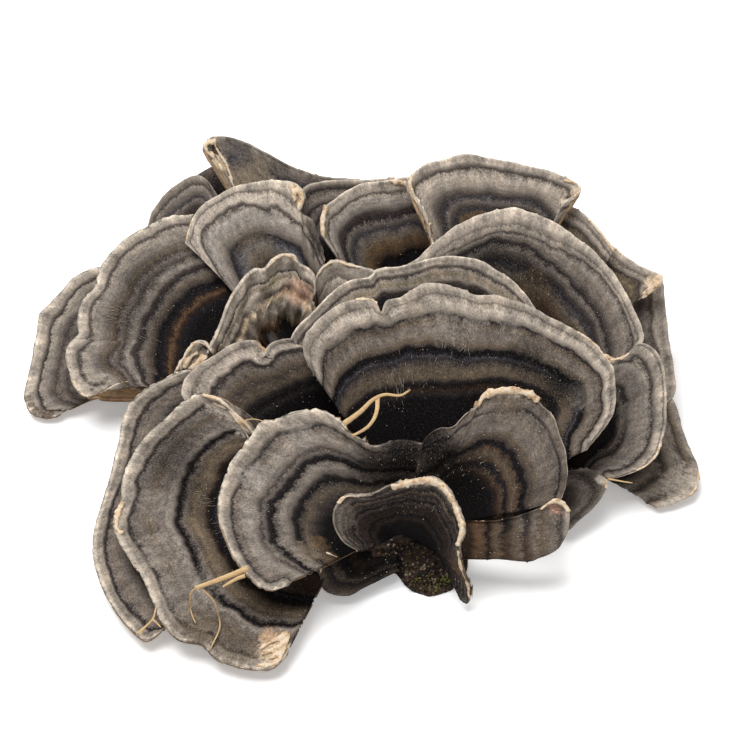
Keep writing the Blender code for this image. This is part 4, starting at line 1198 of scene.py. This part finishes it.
capUpperLeftBack = {
    "node": "cap_upper_left_back",
    "root": (-24, 33, 7),
    "rim": [(-37, 65.5, 30.5), (-34.5, 67.2, 31.8), (-31, 68.8, 33), (-28, 69, 33.3), (-25, 68, 33),
            (-22, 66, 32)],
    "arch": 0.8,
    "zones": [(0, "mid"), (5, "dark"), (12, "charcoal"), (30, "black"), (100, "black")],
}
makeCap("capUpperLeftBack", capUpperLeftBack)

capUpperMiddleBack = {
    "node": "cap_upper_middle_back",
    "root": (-6, 33, 8),
    "rim": [(-16, 59, 31.5), (-15.5, 62, 34.8), (-14.3, 63.6, 36.6), (-13, 64.6, 37.3),
            (-9, 65.3, 37.6), (-4, 65.4, 37.3), (0, 65.5, 37.2), (4, 65.9, 36.8)],
    "arch": 0.8,
    "zones": [(0, "cream"), (1.5, "paleTan"), (3, "mid"), (4.5, "charcoal"), (6.5, "mid"),
              (9, "grey"), (11, "mid"), (12.5, "charcoal"), (14.5, "mid"), (17, "mid"),
              (20, "charcoal"), (26, "mid"), (32, "charcoal"), (45, "black"), (100, "black")],
}
makeCap("capUpperMiddleBack", capUpperMiddleBack)

behindZones = [(0, "cream"), (3, "tan"), (6, "dark"), (9, "grey"), (18, "mid"), (24, "charcoal"),
               (29, "dark"), (36, "blueBlack"), (44, "brown"), (54, "black"), (100, "black")]

capBehindLeft = {
    "node": "cap_behind_left",
    "root": (-24, 24.7, 5),
    "rim": [(-50, 35.4, 10), (-46, 43.8, 12), (-38, 50.9, 14), (-28, 53, 15), (-20, 51.6, 15),
            (-14, 47, 13)],
    "arch": 2.0,
    "step": 1.1,
    "zones": behindZones,
}
makeCap("capBehindLeft", capBehindLeft)

capBehindMiddle = {
    "node": "cap_behind_middle",
    "root": (3, 28.3, 6),
    "rim": [(-14, 50.9, 14), (-6, 55.9, 16), (4, 57.3, 17), (14, 55.2, 16), (20, 49.5, 14)],
    "arch": 2.0,
    "step": 1.1,
    "zones": behindZones,
}
makeCap("capBehindMiddle", capBehindMiddle)

capBehindRight = {
    "node": "cap_behind_right",
    "root": (28, 25.1, 5.5),
    "rim": [(24, 50.9, 14), (32, 50.2, 14), (42, 44.5, 13), (48, 36, 11), (50, 27.6, 9)],
    "arch": 2.0,
    "step": 1.1,
    "zones": behindZones,
}
makeCap("capBehindRight", capBehindRight)


def addPiece(name, bm, material, *nodes):
    bmesh.ops.recalc_face_normals(bm, faces=bm.faces[:])
    for face in bm.faces:
        face.smooth = True
    mesh = meshFrom(name, bm)
    mesh.materials.append(material)
    piece = placed(name, mesh)
    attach(piece, "root")
    if nodes:
        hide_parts(*nodes)
    print(name, len(mesh.polygons), "faces")
    return piece


baseLook = {
    "node": "base",
    "voxel": 0.4,
    "rough": 1.7,
    "cutUnder": 0.6,                            # all that is lower lies on the flat cut
    "hollow": ((12.4, -12.4, 7), 2.2, 2.2),     # where it is seen, how deep, how wide
    # Across, up, height, radius, colour.
    "stains": [(12.6, -12, 7, 1.9, "umber"), (9.5, -14.4, 6, 1.8, "black"),
               (14.8, -11, 7, 1.2, "black")],
    "bark": [(0.34, "black"), (0.46, "charcoal"), (0.52, "darkBrown"), (0.6, "brown"),
             (0.68, "taupe")],
}


def barkMaterial():
    # Dark rotten flesh with a little moss, roughened all over.
    material, tree, shader = newMaterial("baseFlesh", 0.92)
    where = objectPlace(tree)
    coarse = noiseNode(tree, where, 260.0, 5.0, 0.6)
    fine = noiseNode(tree, where, 1500.0, 4.0, 0.7)
    colour = rampThrough(tree, mostlyFirst(tree, coarse, fine), baseLook["bark"])
    chips = spread(tree, noiseNode(tree, where, 2600.0, 2.0, 0.7), 0.35, 0.7, 0.45, 1.7)
    colour = tinted(tree, colour, chips)
    green = spread(tree, noiseNode(tree, where, 420.0, 4.0, 0.6), 0.56, 0.7, 0.0, 0.3)
    colour = mixed(tree, green, colour, shade("moss", 0.6))
    for across, up, height, radius, tint in baseLook["stains"]:
        centre = tuple(seenAt(across, up, height) * mm)
        spot = useGroup(tree, stain, Centre=centre, Radius=radius * mm)["Mask"]
        colour = mixed(tree, spot, colour, shade(tint))
    feed(tree, shader.inputs["Base Color"], colour)
    addBump(tree, shader, plus(tree, coarse, fine), 0.7, 0.0005)
    return material


def fused(bm, voxel):
    # The same solids as one even skin, a little smoothed.
    start = placed("start", meshFrom("start", bm))
    remesh = start.modifiers.new("Even", "REMESH")
    remesh.mode = "VOXEL"
    remesh.voxel_size = voxel * mm
    evaluated = start.evaluated_get(bpy.context.evaluated_depsgraph_get())
    even = bpy.data.meshes.new_from_object(evaluated)
    bpy.data.objects.remove(start)
    bm = bmesh.new()
    bm.from_mesh(even)
    bpy.data.meshes.remove(even)
    bmesh.ops.smooth_vert(bm, verts=bm.verts[:], factor=0.5,
                          use_axis_x=True, use_axis_y=True, use_axis_z=True)
    return bm


def makeBase():
    bm = bmesh.new()
    bm.from_mesh(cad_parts["base"].data)
    bmesh.ops.remove_doubles(bm, verts=bm.verts[:], dist=0.00001)
    bm = fused(bm, baseLook["voxel"])
    bm.normal_update()
    moves = []
    place, deep, wide = baseLook["hollow"]
    hollow = Vector(seenAt(*place))
    for vert in bm.verts:
        p = vert.co / mm
        free = float(smooth(0.3, 2.0, p.z))
        rise = (0.8 * noise.noise(p / 4.5) + 0.6 * abs(noise.noise(p / 2.2 + Vector((7, 3, 1))))
                + 0.45 * noise.noise(p / 1.1 + Vector((2, 8, 5)))
                - 0.5 * abs(noise.noise(p / 1.5 + Vector((4, 1, 9)))))
        dent = deep * math.exp(-((p - hollow).length / wide) ** 2)
        moves.append(vert.normal * ((rise - 0.45) * baseLook["rough"] - dent) * free)
    for vert, move in zip(bm.verts, moves):
        vert.co += move * mm
        if vert.co.z < baseLook["cutUnder"] * mm:
            vert.co.z = 0.0
    return addPiece("baseFlesh", bm, barkMaterial(), baseLook["node"])


basePiece = makeBase()
baseTree = BVHTree.FromObject(basePiece, bpy.context.evaluated_depsgraph_get())


def fleshMaterial():
    # Pale torn flesh, browner and darker in its creases, where the bump dips: partly its own
    # colour, partly painted shade.
    material, tree, shader = newMaterial("tornFlesh", 0.9, 0.1)
    where = objectPlace(tree)
    coarse = noiseNode(tree, where, 700.0, 3.0, 0.6)
    fine = noiseNode(tree, where, 3200.0, 3.0, 0.7)
    tone = mostlyFirst(tree, coarse, fine)
    feed(tree, shader.inputs["Base Color"], rampThrough(tree, tone, tornEdges["flesh"]))
    addBump(tree, shader, tone, 0.5, 0.0003)
    return material


def seenOn(name, a, b):
    # The place on a cap's upper face that is seen at (a, b), the way out to the margin, and the
    # way up.
    upper, normals, across, up = capPlaces[name]
    k, i = nearest(across, up, a, b)
    outer = min(k + 3, upper.shape[0] - 1)
    outwards = Vector(upper[outer, i] - upper[max(outer - 6, 0), i]).normalized()
    return Vector(upper[k, i]), outwards, Vector(normals[k, i])


tornEdges = {
    "voxel": 0.2,
    "spacing": 0.5,             # from lump to lump, as a share of the ribbon's size
    "lump": (0.55, 1.15, 0.7),  # along the margin, across it, and thick
    # The low end of this ramp, where the bump dips into creases, is darker: partly painted shade.
    "flesh": [(0.32, "ochreGrey"), (0.4, "biscuit"), (0.5, "butter"), (0.6, "ivory")],
    # Cap, the line it is seen along, size.
    "rolls": [
        ("capFrontSmall", [(3.5, 4.8), (7, 5.4), (10.5, 5.6), (13.5, 4.8), (15.8, 1.8),
                           (17.3, -1.5), (18, -4.5), (17.4, -7.5)], 0.95),
        ("capFrontSmall", [(17.4, -9), (18, -12), (18.8, -15.5), (19, -18)], 0.45),
        ("capFrontSmall", [(-7.6, 0.8), (-6, 2.4), (-3.5, 2.5)], 0.45),
        ("capFrontLow", [(-10.8, -9.8), (-11.2, -11.5), (-11, -13)], 0.4),
        ("capFrontRight",
         [(20.8, 20.8), (22, 22.5), (24.8, 23.4), (28, 23.3), (31, 22.5), (32.6, 21.4)], 0.9),
        ("capFrontFold", [(33.6, -0.2), (34.8, 0.9), (36.4, 1.6), (38, 0.9), (38.7, -0.6)], 0.65),
        ("capFrontFold", [(20.6, 1), (21, 1), (21.6, 0.9)], 0.25),
        ("capRightSmall", [(45, 6.5), (46.2, 5.4), (46.3, 4)], 0.35),
        ("capUpperRight", [(11.6, 52), (10.8, 55), (9.8, 58), (8.2, 61.3), (6.8, 64), (7.4, 66)],
         0.5),
        ("capUpperRight", [(38, 65.6), (40, 64.8), (41, 63.5), (39.6, 61.8), (37.5, 61)], 0.4),
        ("capUpperMiddle", [(-10.4, 54.4), (-10.8, 56), (-10.7, 58), (-9.8, 60)], 0.85),
        ("capUpperMiddle", [(3.4, 65.2), (4.8, 65.2), (6.2, 64.6), (7, 63.2)], 0.85),
        ("capUpperLeft", [(-16.4, 64.2), (-15.2, 63.2), (-14.8, 62), (-15.2, 60.6)], 1.0),
        ("capUpperLeft", [(-16.4, 63.2), (-15.8, 62)], 1.0),
        ("capUpperLeft", [(-37.8, 53.4), (-37.2, 55.4), (-36.6, 57.4)], 0.35),
        ("capTop", [(-32.4, 70.6), (-33.4, 71.2), (-34.3, 71.8), (-33.9, 72.7), (-32.8, 73.4)],
         0.8),
        ("capTop", [(-27.8, 63), (-29.2, 65.6), (-30.6, 68), (-31.6, 69.6), (-32, 70.4)], 0.7),
        ("capTop", [(-28.8, 66), (-30, 68.6), (-31, 70.4), (-31.6, 72), (-31.8, 73.4)], 0.55),
        ("capRightBack", [(42.6, 57.5), (44.6, 55.4), (46.4, 53.2), (47.6, 51.6)], 0.4),
        ("capRightBackLow", [(57, 46.4), (57.3, 45.2), (56, 43.9), (54.2, 42.4)], 0.8),
        ("capRightBackLow", [(56.4, 46), (55.6, 44.6), (54, 43.2)], 0.7),
        ("capRightBackLow", [(46.2, 52.2), (48, 51.6), (49.6, 50.5)], 0.4),
        ("capRight", [(44.8, 30.2), (46, 30.4), (47.6, 29.8), (49.6, 29.9), (51.2, 30.8)], 0.55),
        ("capRight", [(57.2, 12.6), (56.2, 10.4), (54.6, 8.6), (52.6, 7.4)], 0.4),
        ("capRightLow", [(64.7, 7), (64.7, 4.6), (63.4, 2.6), (61, 1.4)], 0.35),
        ("capLeftFront", [(-50.6, 0.6), (-51.8, -1.6), (-52, -4), (-50.8, -5.5)], 0.65),
        ("capLeftFront", [(-17.6, -26), (-18.2, -28.6), (-19.4, -30.8), (-21, -31.8), (-23.6, -32)],
         0.65),
        ("capLeftFront", [(-23, -28.2), (-20.6, -27.2), (-18, -25.8)], 0.7),
        ("capLeftFront", [(-22.4, -29.4), (-20, -28.6), (-18, -27.4)], 0.75),
        ("capLeftFront", [(-21, -30.4), (-19.4, -29.8), (-18.4, -28.8)], 0.7),
        ("capLeftFront", [(-34, 22.8), (-31, 21.6), (-28.4, 19.2), (-26, 16.8), (-24.6, 15)], 0.6),
        ("capLeftFront", [(-32.4, 20.9), (-30, 19.6), (-27.8, 17.4), (-26.2, 15.2), (-25.4, 13.8)],
         0.4),
        ("capFrontLeft", [(-9.8, -9), (-8.8, -9.8), (-7.6, -10)], 0.3),
        ("capLeftFold", [(-39.8, 27.6), (-38.8, 29.8), (-37.2, 32), (-35.6, 33), (-33.6, 32.4)],
         0.5),
        ("capLeftFold", [(-38.4, 28), (-37.2, 30), (-35.6, 31.4)], 0.6),
        ("capLeftFold", [(-37.4, 27.4), (-36, 29), (-34.6, 30.6)], 0.55),
        ("capLeftFold", [(-36, 28), (-34.8, 29.2), (-33.8, 30)], 0.5),
        ("capFarLeft", [(-60.4, 25.4), (-59.2, 23), (-57.6, 21.9), (-55.6, 22.3), (-53.4, 23.5),
                        (-51.4, 24.7), (-49.4, 25.2)], 0.3),
        ("capCentre", [(-3.6, 41.4), (-1, 41.4), (0.4, 40.6)], 0.4),
        ("capCentre", [(40.6, 34.8), (43.6, 32.8), (45.4, 30.8), (46.8, 29)], 0.35),
        ("capHairy", [(-21.5, 48.2), (-19.5, 50), (-17.4, 50.3), (-15.2, 49.2)], 0.45),
        ("capHairy", [(-20.6, 42), (-21.6, 40.2), (-22.4, 38)], 0.35),
        ("capHairy", [(-19, 41.4), (-19.6, 39.4), (-20, 37.4)], 0.3),
        ("capHairy", [(-17.4, 40.4), (-17.6, 38.6), (-17.4, 37)], 0.3),
        ("capHairySide", [(-11.4, 46.6), (-9.8, 48.4), (-7.6, 49.2), (-5.6, 48.6), (-3, 47.8)],
         0.4),
    ],
}


def makeTornEdges():
    # Ruffled ribbons: close-set lumps, each longest across the margin.
    bm = bmesh.new()
    random.seed(11)
    for name, line, size in tornEdges["rolls"]:
        line = [seenOn(name, *p)[0] for p in line]
        length = sum((b - a).length for a, b in zip(line, line[1:]))
        count = max(5, round(length / (tornEdges["spacing"] * size)))
        for p in curveThrough(line, count):
            p = Vector(p)
            _, outwards, normal = seenOn(name, *drawnAt(p))
            along = outwards.cross(normal).normalized()
            big = size * (0.75 + 0.45 * noise.noise(p / 1.9) + random.uniform(-0.12, 0.2))
            turn = Matrix((along, outwards, normal)).transposed().to_4x4()
            tilt = (Matrix.Rotation(random.uniform(-0.35, 0.35), 4, "Z")
                    @ Matrix.Rotation(random.uniform(-0.3, 0.3), 4, "X"))
            shape = Matrix.Diagonal((*[part * big * mm for part in tornEdges["lump"]], 1))
            middle = p - outwards * 0.35 * size + normal * 0.2 * size
            moved = Matrix.Translation(middle * mm) @ turn @ tilt @ shape
            made = bmesh.ops.create_icosphere(bm, subdivisions=2, radius=1, matrix=moved)["verts"]
            for vert in made:
                vert.co += (vert.co - middle * mm) * 0.25 * noise.noise(vert.co / (0.6 * mm))
    bm = fused(bm, tornEdges["voxel"])
    piece = addPiece("tornEdges", bm, fleshMaterial())


makeTornEdges()


def strawMaterial():
    material, tree, shader = newMaterial("straw", 0.6)
    streaked = scaled(tree, objectPlace(tree), 300.0, 2500.0, 2500.0)
    streaks = noiseNode(tree, streaked, 1.0, 3.0, 0.6)
    tone = spread(tree, streaks, 0.3, 0.6, 0.0, 1.0)
    feed(tree, shader.inputs["Base Color"], mixed(tree, tone, shade("biscuit"), shade("straw")))
    addBump(tree, shader, streaks, 0.4, 0.0002)
    return material


straw = strawMaterial()


def restingAt(a, b, height):
    # A named cap in place of the height means: lying on that cap.
    if isinstance(height, str):
        height = seenOn(height, a, b)[0].z + 0.4
    return seenAt(a, b, height)


def strand(bm, line, widthStart, widthEnd, thick, pieces):
    # A flat blade along a traced line, narrowing to its tip, a little folded along its middle.
    path = curveThrough([restingAt(*p) for p in line], pieces)
    made = bmesh.ops.create_grid(bm, x_segments=pieces, y_segments=2, size=0.5)["verts"]
    faces = dict.fromkeys(face for vert in made for face in vert.link_faces)
    grown = bmesh.ops.extrude_face_region(bm, geom=list(faces))["geom"]
    lower = {g for g in grown if isinstance(g, bmesh.types.BMVert)}
    for vert in made + list(lower):
        k = round((vert.co.x + 0.5) * pieces)
        side = vert.co.y * 2
        ahead = Vector(path[min(k + 1, pieces)] - path[max(k - 1, 0)]).normalized()
        across = ahead.cross(towardsEye).normalized()
        up = across.cross(ahead)
        width = widthStart + (widthEnd - widthStart) * k / pieces
        rise = 0.18 * width * abs(side) + (0 if vert in lower else thick)
        vert.co = (Vector(path[k]) + across * side * width / 2 + up * rise) * mm


def makeGrass(name, grass, *nodes):
    bm = bmesh.new()
    for line, widthStart, widthEnd in grass["blades"]:
        strand(bm, line, widthStart, widthEnd, grass["thick"], grass["pieces"])
    addPiece(name, bm, straw, *nodes)


grassCentre = {
    "thick": 0.25,
    "pieces": 24,
    # The line, width at its start and at its tip.
    "blades": [
        ([(-6.3, 16.6, 28.6), (-3, 19, 28.6), (-0.5, 21.4, 28.6), (2, 22.5, 28.6), (5, 22.3, 28.6),
          (7, 23.4, 28.6)], 1.1, 0.35),
        ([(0.5, 21.7, 28.4), (0.4, 19.5, 28), (-0.3, 17.5, 27.6), (-1.5, 16, 27.4), (-3, 15, 27.2),
          (-4.7, 14.2, 27)], 0.85, 0.5),
    ],
}
makeGrass("grassCentre", grassCentre, "grass_blade_centre")

grassLeft = {
    "thick": 0.22,
    "pieces": 24,
    # The line, width at its start and at its tip.
    "blades": [
        ([(-25.4, -12.2, 19), (-28, -13.3, 18.6), (-32, -14.8, 17.6), (-36, -16.2, 16.4)], 1.15,
         0.7),
        ([(-26, -13.7, 18.6), (-28, -14.5, 18.2), (-30.5, -16, 17.4)], 0.8, 0.4),
        ([(-35.5, -16, 16.6), (-36.8, -17.2, 14), (-36.9, -20, "capLeftFront"),
          (-36.5, -21.8, "capLeftFront"), (-35.8, -23.3, "capLeftFront")], 0.35, 0.2),
        ([(-35, -16, 16.6), (-32.3, -18.7, 13.4), (-31.2, -22, "capLeftFront"),
          (-31, -23.6, "capLeftFront"), (-31.3, -25, "capLeftFront"), (-33, -28.5, "capLeftFront")],
         0.35, 0.25),
    ],
}
makeGrass("grassLeft", grassLeft, "grass_blade_left")

grassBits = {
    "thick": 0.15,
    "pieces": 12,
    # The line, width at its start and at its tip.
    "blades": [
        ([(-47.6, -25.4, "capLeftOuter"), (-46, -24, 5.6), (-44.4, -22.3, 7), (-43.8, -20.1, 8)],
         0.5, 0.3),
        ([(-44.6, -22.4, 7.2), (-43.6, -23.2, 7), (-42.8, -24.1, 6.6)], 0.4, 0.2),
        ([(-27, 17, 27.4), (-24.5, 17.6, 27.4), (-22, 17.1, 27.4)], 0.22, 0.15),
        ([(46.5, 5.7, 11), (49, 5.2, 11), (51.5, 4.8, 10.5)], 0.4, 0.2),
    ],
}
makeGrass("grassBits", grassBits)


def speckledMaterial(name, roughness, scale, detail, dark, pale):
    # Each speck has a shade between the two.
    material, tree, shader = newMaterial(name, roughness)
    specks = noiseNode(tree, objectPlace(tree), scale, detail)
    tone = spread(tree, specks, 0.35, 0.65, 0.0, 1.0)
    feed(tree, shader.inputs["Base Color"], mixed(tree, tone, dark, pale))
    addBump(tree, shader, tone, 0.3, 0.0001)
    return material


dust = speckledMaterial("dust", 0.9, 1600.0, 2.0, shade("tan"), shade("ivory"))
grains = {
    "onCaps": [("capCentre", 170), ("capFrontLeft", 80), ("capFrontRight", 90),
               ("capFrontSmall", 30), ("capLeftFront", 100), ("capLeftOuter", 20),
               ("capCentreLeft", 60), ("capRightDome", 140), ("capUpperMiddle", 40),
               ("capUpperRight", 40), ("capUpperLeft", 30), ("capFarLeft", 70), ("capRight", 40),
               ("capFrontFold", 20), ("capFrontLow", 20), ("capRightStrip", 10),
               ("capRightBack", 12), ("capTop", 12), ("capCentreBack", 30), ("capHairy", 30)],
    "radius": (0.04, 0.105),
    "stray": 0.3,
}


def makeGrains():
    bm = bmesh.new()
    random.seed(5)
    stray = grains["stray"]
    for name, count in grains["onCaps"]:
        upper, normals = capPlaces[name][:2]
        for _ in range(count):
            k = int(random.triangular(0.25, 0.99, 0.7) * (upper.shape[0] - 1))
            i = random.randrange(upper.shape[1])
            radius = random.uniform(*grains["radius"])
            place = Vector(upper[k, i]) + Vector(normals[k, i]) * radius * 0.5
            place += Vector((random.uniform(-stray, stray), random.uniform(-stray, stray), 0))
            flat = Matrix.Diagonal((random.uniform(0.7, 1.4), random.uniform(0.7, 1.4), 0.8, 1))
            bmesh.ops.create_icosphere(bm, subdivisions=1, radius=radius * mm,
                                       matrix=Matrix.Translation(place * mm) @ flat)
    addPiece("dustGrains", bm, dust)


def turnedTo(way):
    # The turn that points the Z axis that way.
    return way.to_track_quat("Z", "Y").to_matrix().to_4x4()


whiteHairs = {
    # Cap, middle (across, up), how far they reach from it, how many, longest.
    "tufts": [("capCentre", (4.5, 24), 4.5, 34, 2.2), ("capCentre", (17, 32.5), 4, 22, 1.8),
              ("capCentre", (8, 27), 8, 30, 1.3), ("capFarLeft", (-51, 38), 3.5, 22, 2.4),
              ("capFarLeft", (-46, 35), 3, 16, 2), ("capLeftFront", (-33.5, 1), 3, 16, 1.6),
              ("capLeftFront", (-31, -6), 5, 20, 1.4), ("capFrontLeft", (-12, 4), 7, 26, 1.1),
              ("capFrontRight", (20, 8), 6, 20, 1.1), ("capHairy", (-20, 40), 5, 110, 2.6),
              ("capRightDome", (30, 46), 7, 22, 1.1), ("capUpperMiddle", (0, 55), 5, 14, 1.2),
              ("capFrontSmall", (8, 0), 5, 12, 1.0)],
    "radii": (0.045, 0.015),
}


def makeHairs():
    bm = bmesh.new()
    random.seed(8)
    rootRadius, tipRadius = whiteHairs["radii"]
    for name, middle, reach, count, longest in whiteHairs["tufts"]:
        upper, normals, across, up = capPlaces[name]
        for _ in range(count):
            a = middle[0] + random.gauss(0, 0.5) * reach
            b = middle[1] + random.gauss(0, 0.35) * reach
            k, i = nearest(across, up, a, b)
            k = min(max(k, 2), upper.shape[0] - 3)
            outwards = Vector(upper[k + 2, i] - upper[k - 2, i]).normalized()
            normal = Vector(normals[k, i])
            aside = outwards.cross(normal)
            way = outwards + normal * random.uniform(0.05, 0.35) + aside * random.gauss(0, 0.18)
            way.normalize()
            length = longest * random.uniform(0.35, 1)
            place = Vector(upper[k, i]) + way * length * 0.45 + normal * 0.08
            bmesh.ops.create_cone(bm, segments=3, cap_ends=True, radius1=rootRadius * mm,
                                  radius2=tipRadius * mm, depth=length * mm,
                                  matrix=Matrix.Translation(place * mm) @ turnedTo(way))
    addPiece("whiteHairs", bm, dust)


def seenOnBase(middle, reach, count, flat):
    # Scattered places round one place on the drawing at which the base lies, and their normals.
    for _ in range(count):
        a = middle[0] + random.gauss(0, 1) * reach
        b = middle[1] + random.gauss(0, flat) * reach
        hit, normal, _, _ = baseTree.ray_cast(eye * mm, (seenAt(a, b, 0) - eye).normalized())
        if hit is not None:
            yield hit, normal


baseCrumbs = {
    # Middle (across, up), spread, how many, sizes.
    "heaps": [((11, -13), 2.6, 110, (0.15, 0.5)), ((5, -10), 2.6, 60, (0.15, 0.45)),
              ((14, -15.5), 1.6, 50, (0.15, 0.4))],
    "bark": [(0.38, "black"), (0.48, "darkBrown"), (0.56, "ochre"), (0.66, "tan")],
}


def crumbMaterial():
    # Bits of bark and rotten flesh, each of its own shade.
    material, tree, shader = newMaterial("crumbs", 0.9)
    where = objectPlace(tree)
    colour = rampThrough(tree, noiseNode(tree, where, 1100.0, 2.0, 0.6), baseCrumbs["bark"])
    feed(tree, shader.inputs["Base Color"], colour)
    addBump(tree, shader, noiseNode(tree, where, 4000.0, 2.0), 0.4, 0.0001)
    return material


def makeCrumbs():
    bm = bmesh.new()
    random.seed(14)
    for middle, reach, count, sizes in baseCrumbs["heaps"]:
        for hit, normal in seenOnBase(middle, reach, count, 0.8):
            size = random.uniform(*sizes) * mm
            shape = Matrix.Diagonal((size * random.uniform(0.6, 1.5), size,
                                     size * random.uniform(0.4, 0.8), 1))
            tilt = normal + Vector([random.uniform(-0.6, 0.6) for _ in range(3)])
            moved = Matrix.Translation(hit) @ turnedTo(tilt) @ shape
            made = bmesh.ops.create_icosphere(bm, subdivisions=1, radius=1, matrix=moved)["verts"]
            for vert in made:
                vert.co += (vert.co - hit) * 0.5 * noise.noise(vert.co / (0.3 * mm))
                vert.co.z = max(vert.co.z, 0)
    addPiece("baseCrumbs", bm, crumbMaterial())


mossTufts = {
    # Middle (across, up), spread, how many leaves.
    "tufts": [((14, -14.6), 0.8, 46), ((12, -15.8), 0.9, 34), ((15.4, -12.8), 0.6, 22),
              ((9, -14.8), 1.2, 26), ((5, -12), 1.4, 18), ((7.4, -9.4), 1.2, 14)],
    "leaf": (0.13, 0.06, 0.3),
}


def makeMoss():
    bm = bmesh.new()
    random.seed(2)
    for middle, reach, count in mossTufts["tufts"]:
        for hit, normal in seenOnBase(middle, reach, count, 0.7):
            tilt = normal + Vector([random.uniform(-0.8, 0.8) for _ in range(3)])
            tilt.normalize()
            grow = random.uniform(0.6, 1.3)
            shape = Matrix.Diagonal((*[grow * part * mm for part in mossTufts["leaf"]], 1))
            moved = Matrix.Translation(hit + tilt * 0.2 * mm) @ turnedTo(tilt) @ shape
            bmesh.ops.create_icosphere(bm, subdivisions=1, radius=1, matrix=moved)
    moss = speckledMaterial("moss", 0.8, 900.0, 3.0, shade("moss", 0.7), shade("sprout"))
    addPiece("mossLeaves", bm, moss)


makeGrains()
makeHairs()
makeCrumbs()
makeMoss()


studio = {
    "floor": (0.93, 0.93, 0.93, 1),
    "floorHalf": 3,
    "white": (1, 1, 1, 1),
    "glow": 0.25,
    "world": 0.28,
    # Place in metres, size, power.
    "lights": {"key": ((-0.2, 0.0, 0.9), 0.6, 11.0), "front": ((0.2, -0.8, 0.6), 0.7, 1.6)},
}

camera = bpy.data.cameras.new("camera")
camera.sensor_width = 36
camera.lens = camera.sensor_width * eyeDistance / drawingWidth
cameraPiece = placed("camera", camera)
cameraPiece.location = eye * mm
cameraPiece.rotation_euler = (-towardsEye).to_track_quat("-Z", "Y").to_euler()
bpy.context.scene.camera = cameraPiece

bm = bmesh.new()
bmesh.ops.create_grid(bm, x_segments=1, y_segments=1, size=studio["floorHalf"])
floor = placed("floor", meshFrom("floor", bm))
floorLook, tree, shader = newMaterial("floor", 0.8)
shader.inputs["Base Color"].default_value = studio["floor"]
glow = addNode(tree, "ShaderNodeLightPath").outputs["Is Camera Ray"]
feed(tree, shader.inputs["Emission Strength"], times(tree, glow, studio["glow"]))
shader.inputs["Emission Color"].default_value = studio["white"]
floor.data.materials.append(floorLook)

world = bpy.data.worlds.new("studio")
world.use_nodes = True
background = world.node_tree.nodes["Background"]
background.inputs["Color"].default_value = studio["white"]
background.inputs["Strength"].default_value = studio["world"]
bpy.context.scene.world = world

for name, (place, size, power) in studio["lights"].items():
    light = bpy.data.lights.new(name, "AREA")
    light.size = size
    light.energy = power
    lamp = placed(name, light)
    lamp.location = place
    lamp.rotation_euler = Vector(place).to_track_quat("Z", "Y").to_euler()

bpy.context.scene.view_settings.view_transform = "Standard"
print("scene ready")
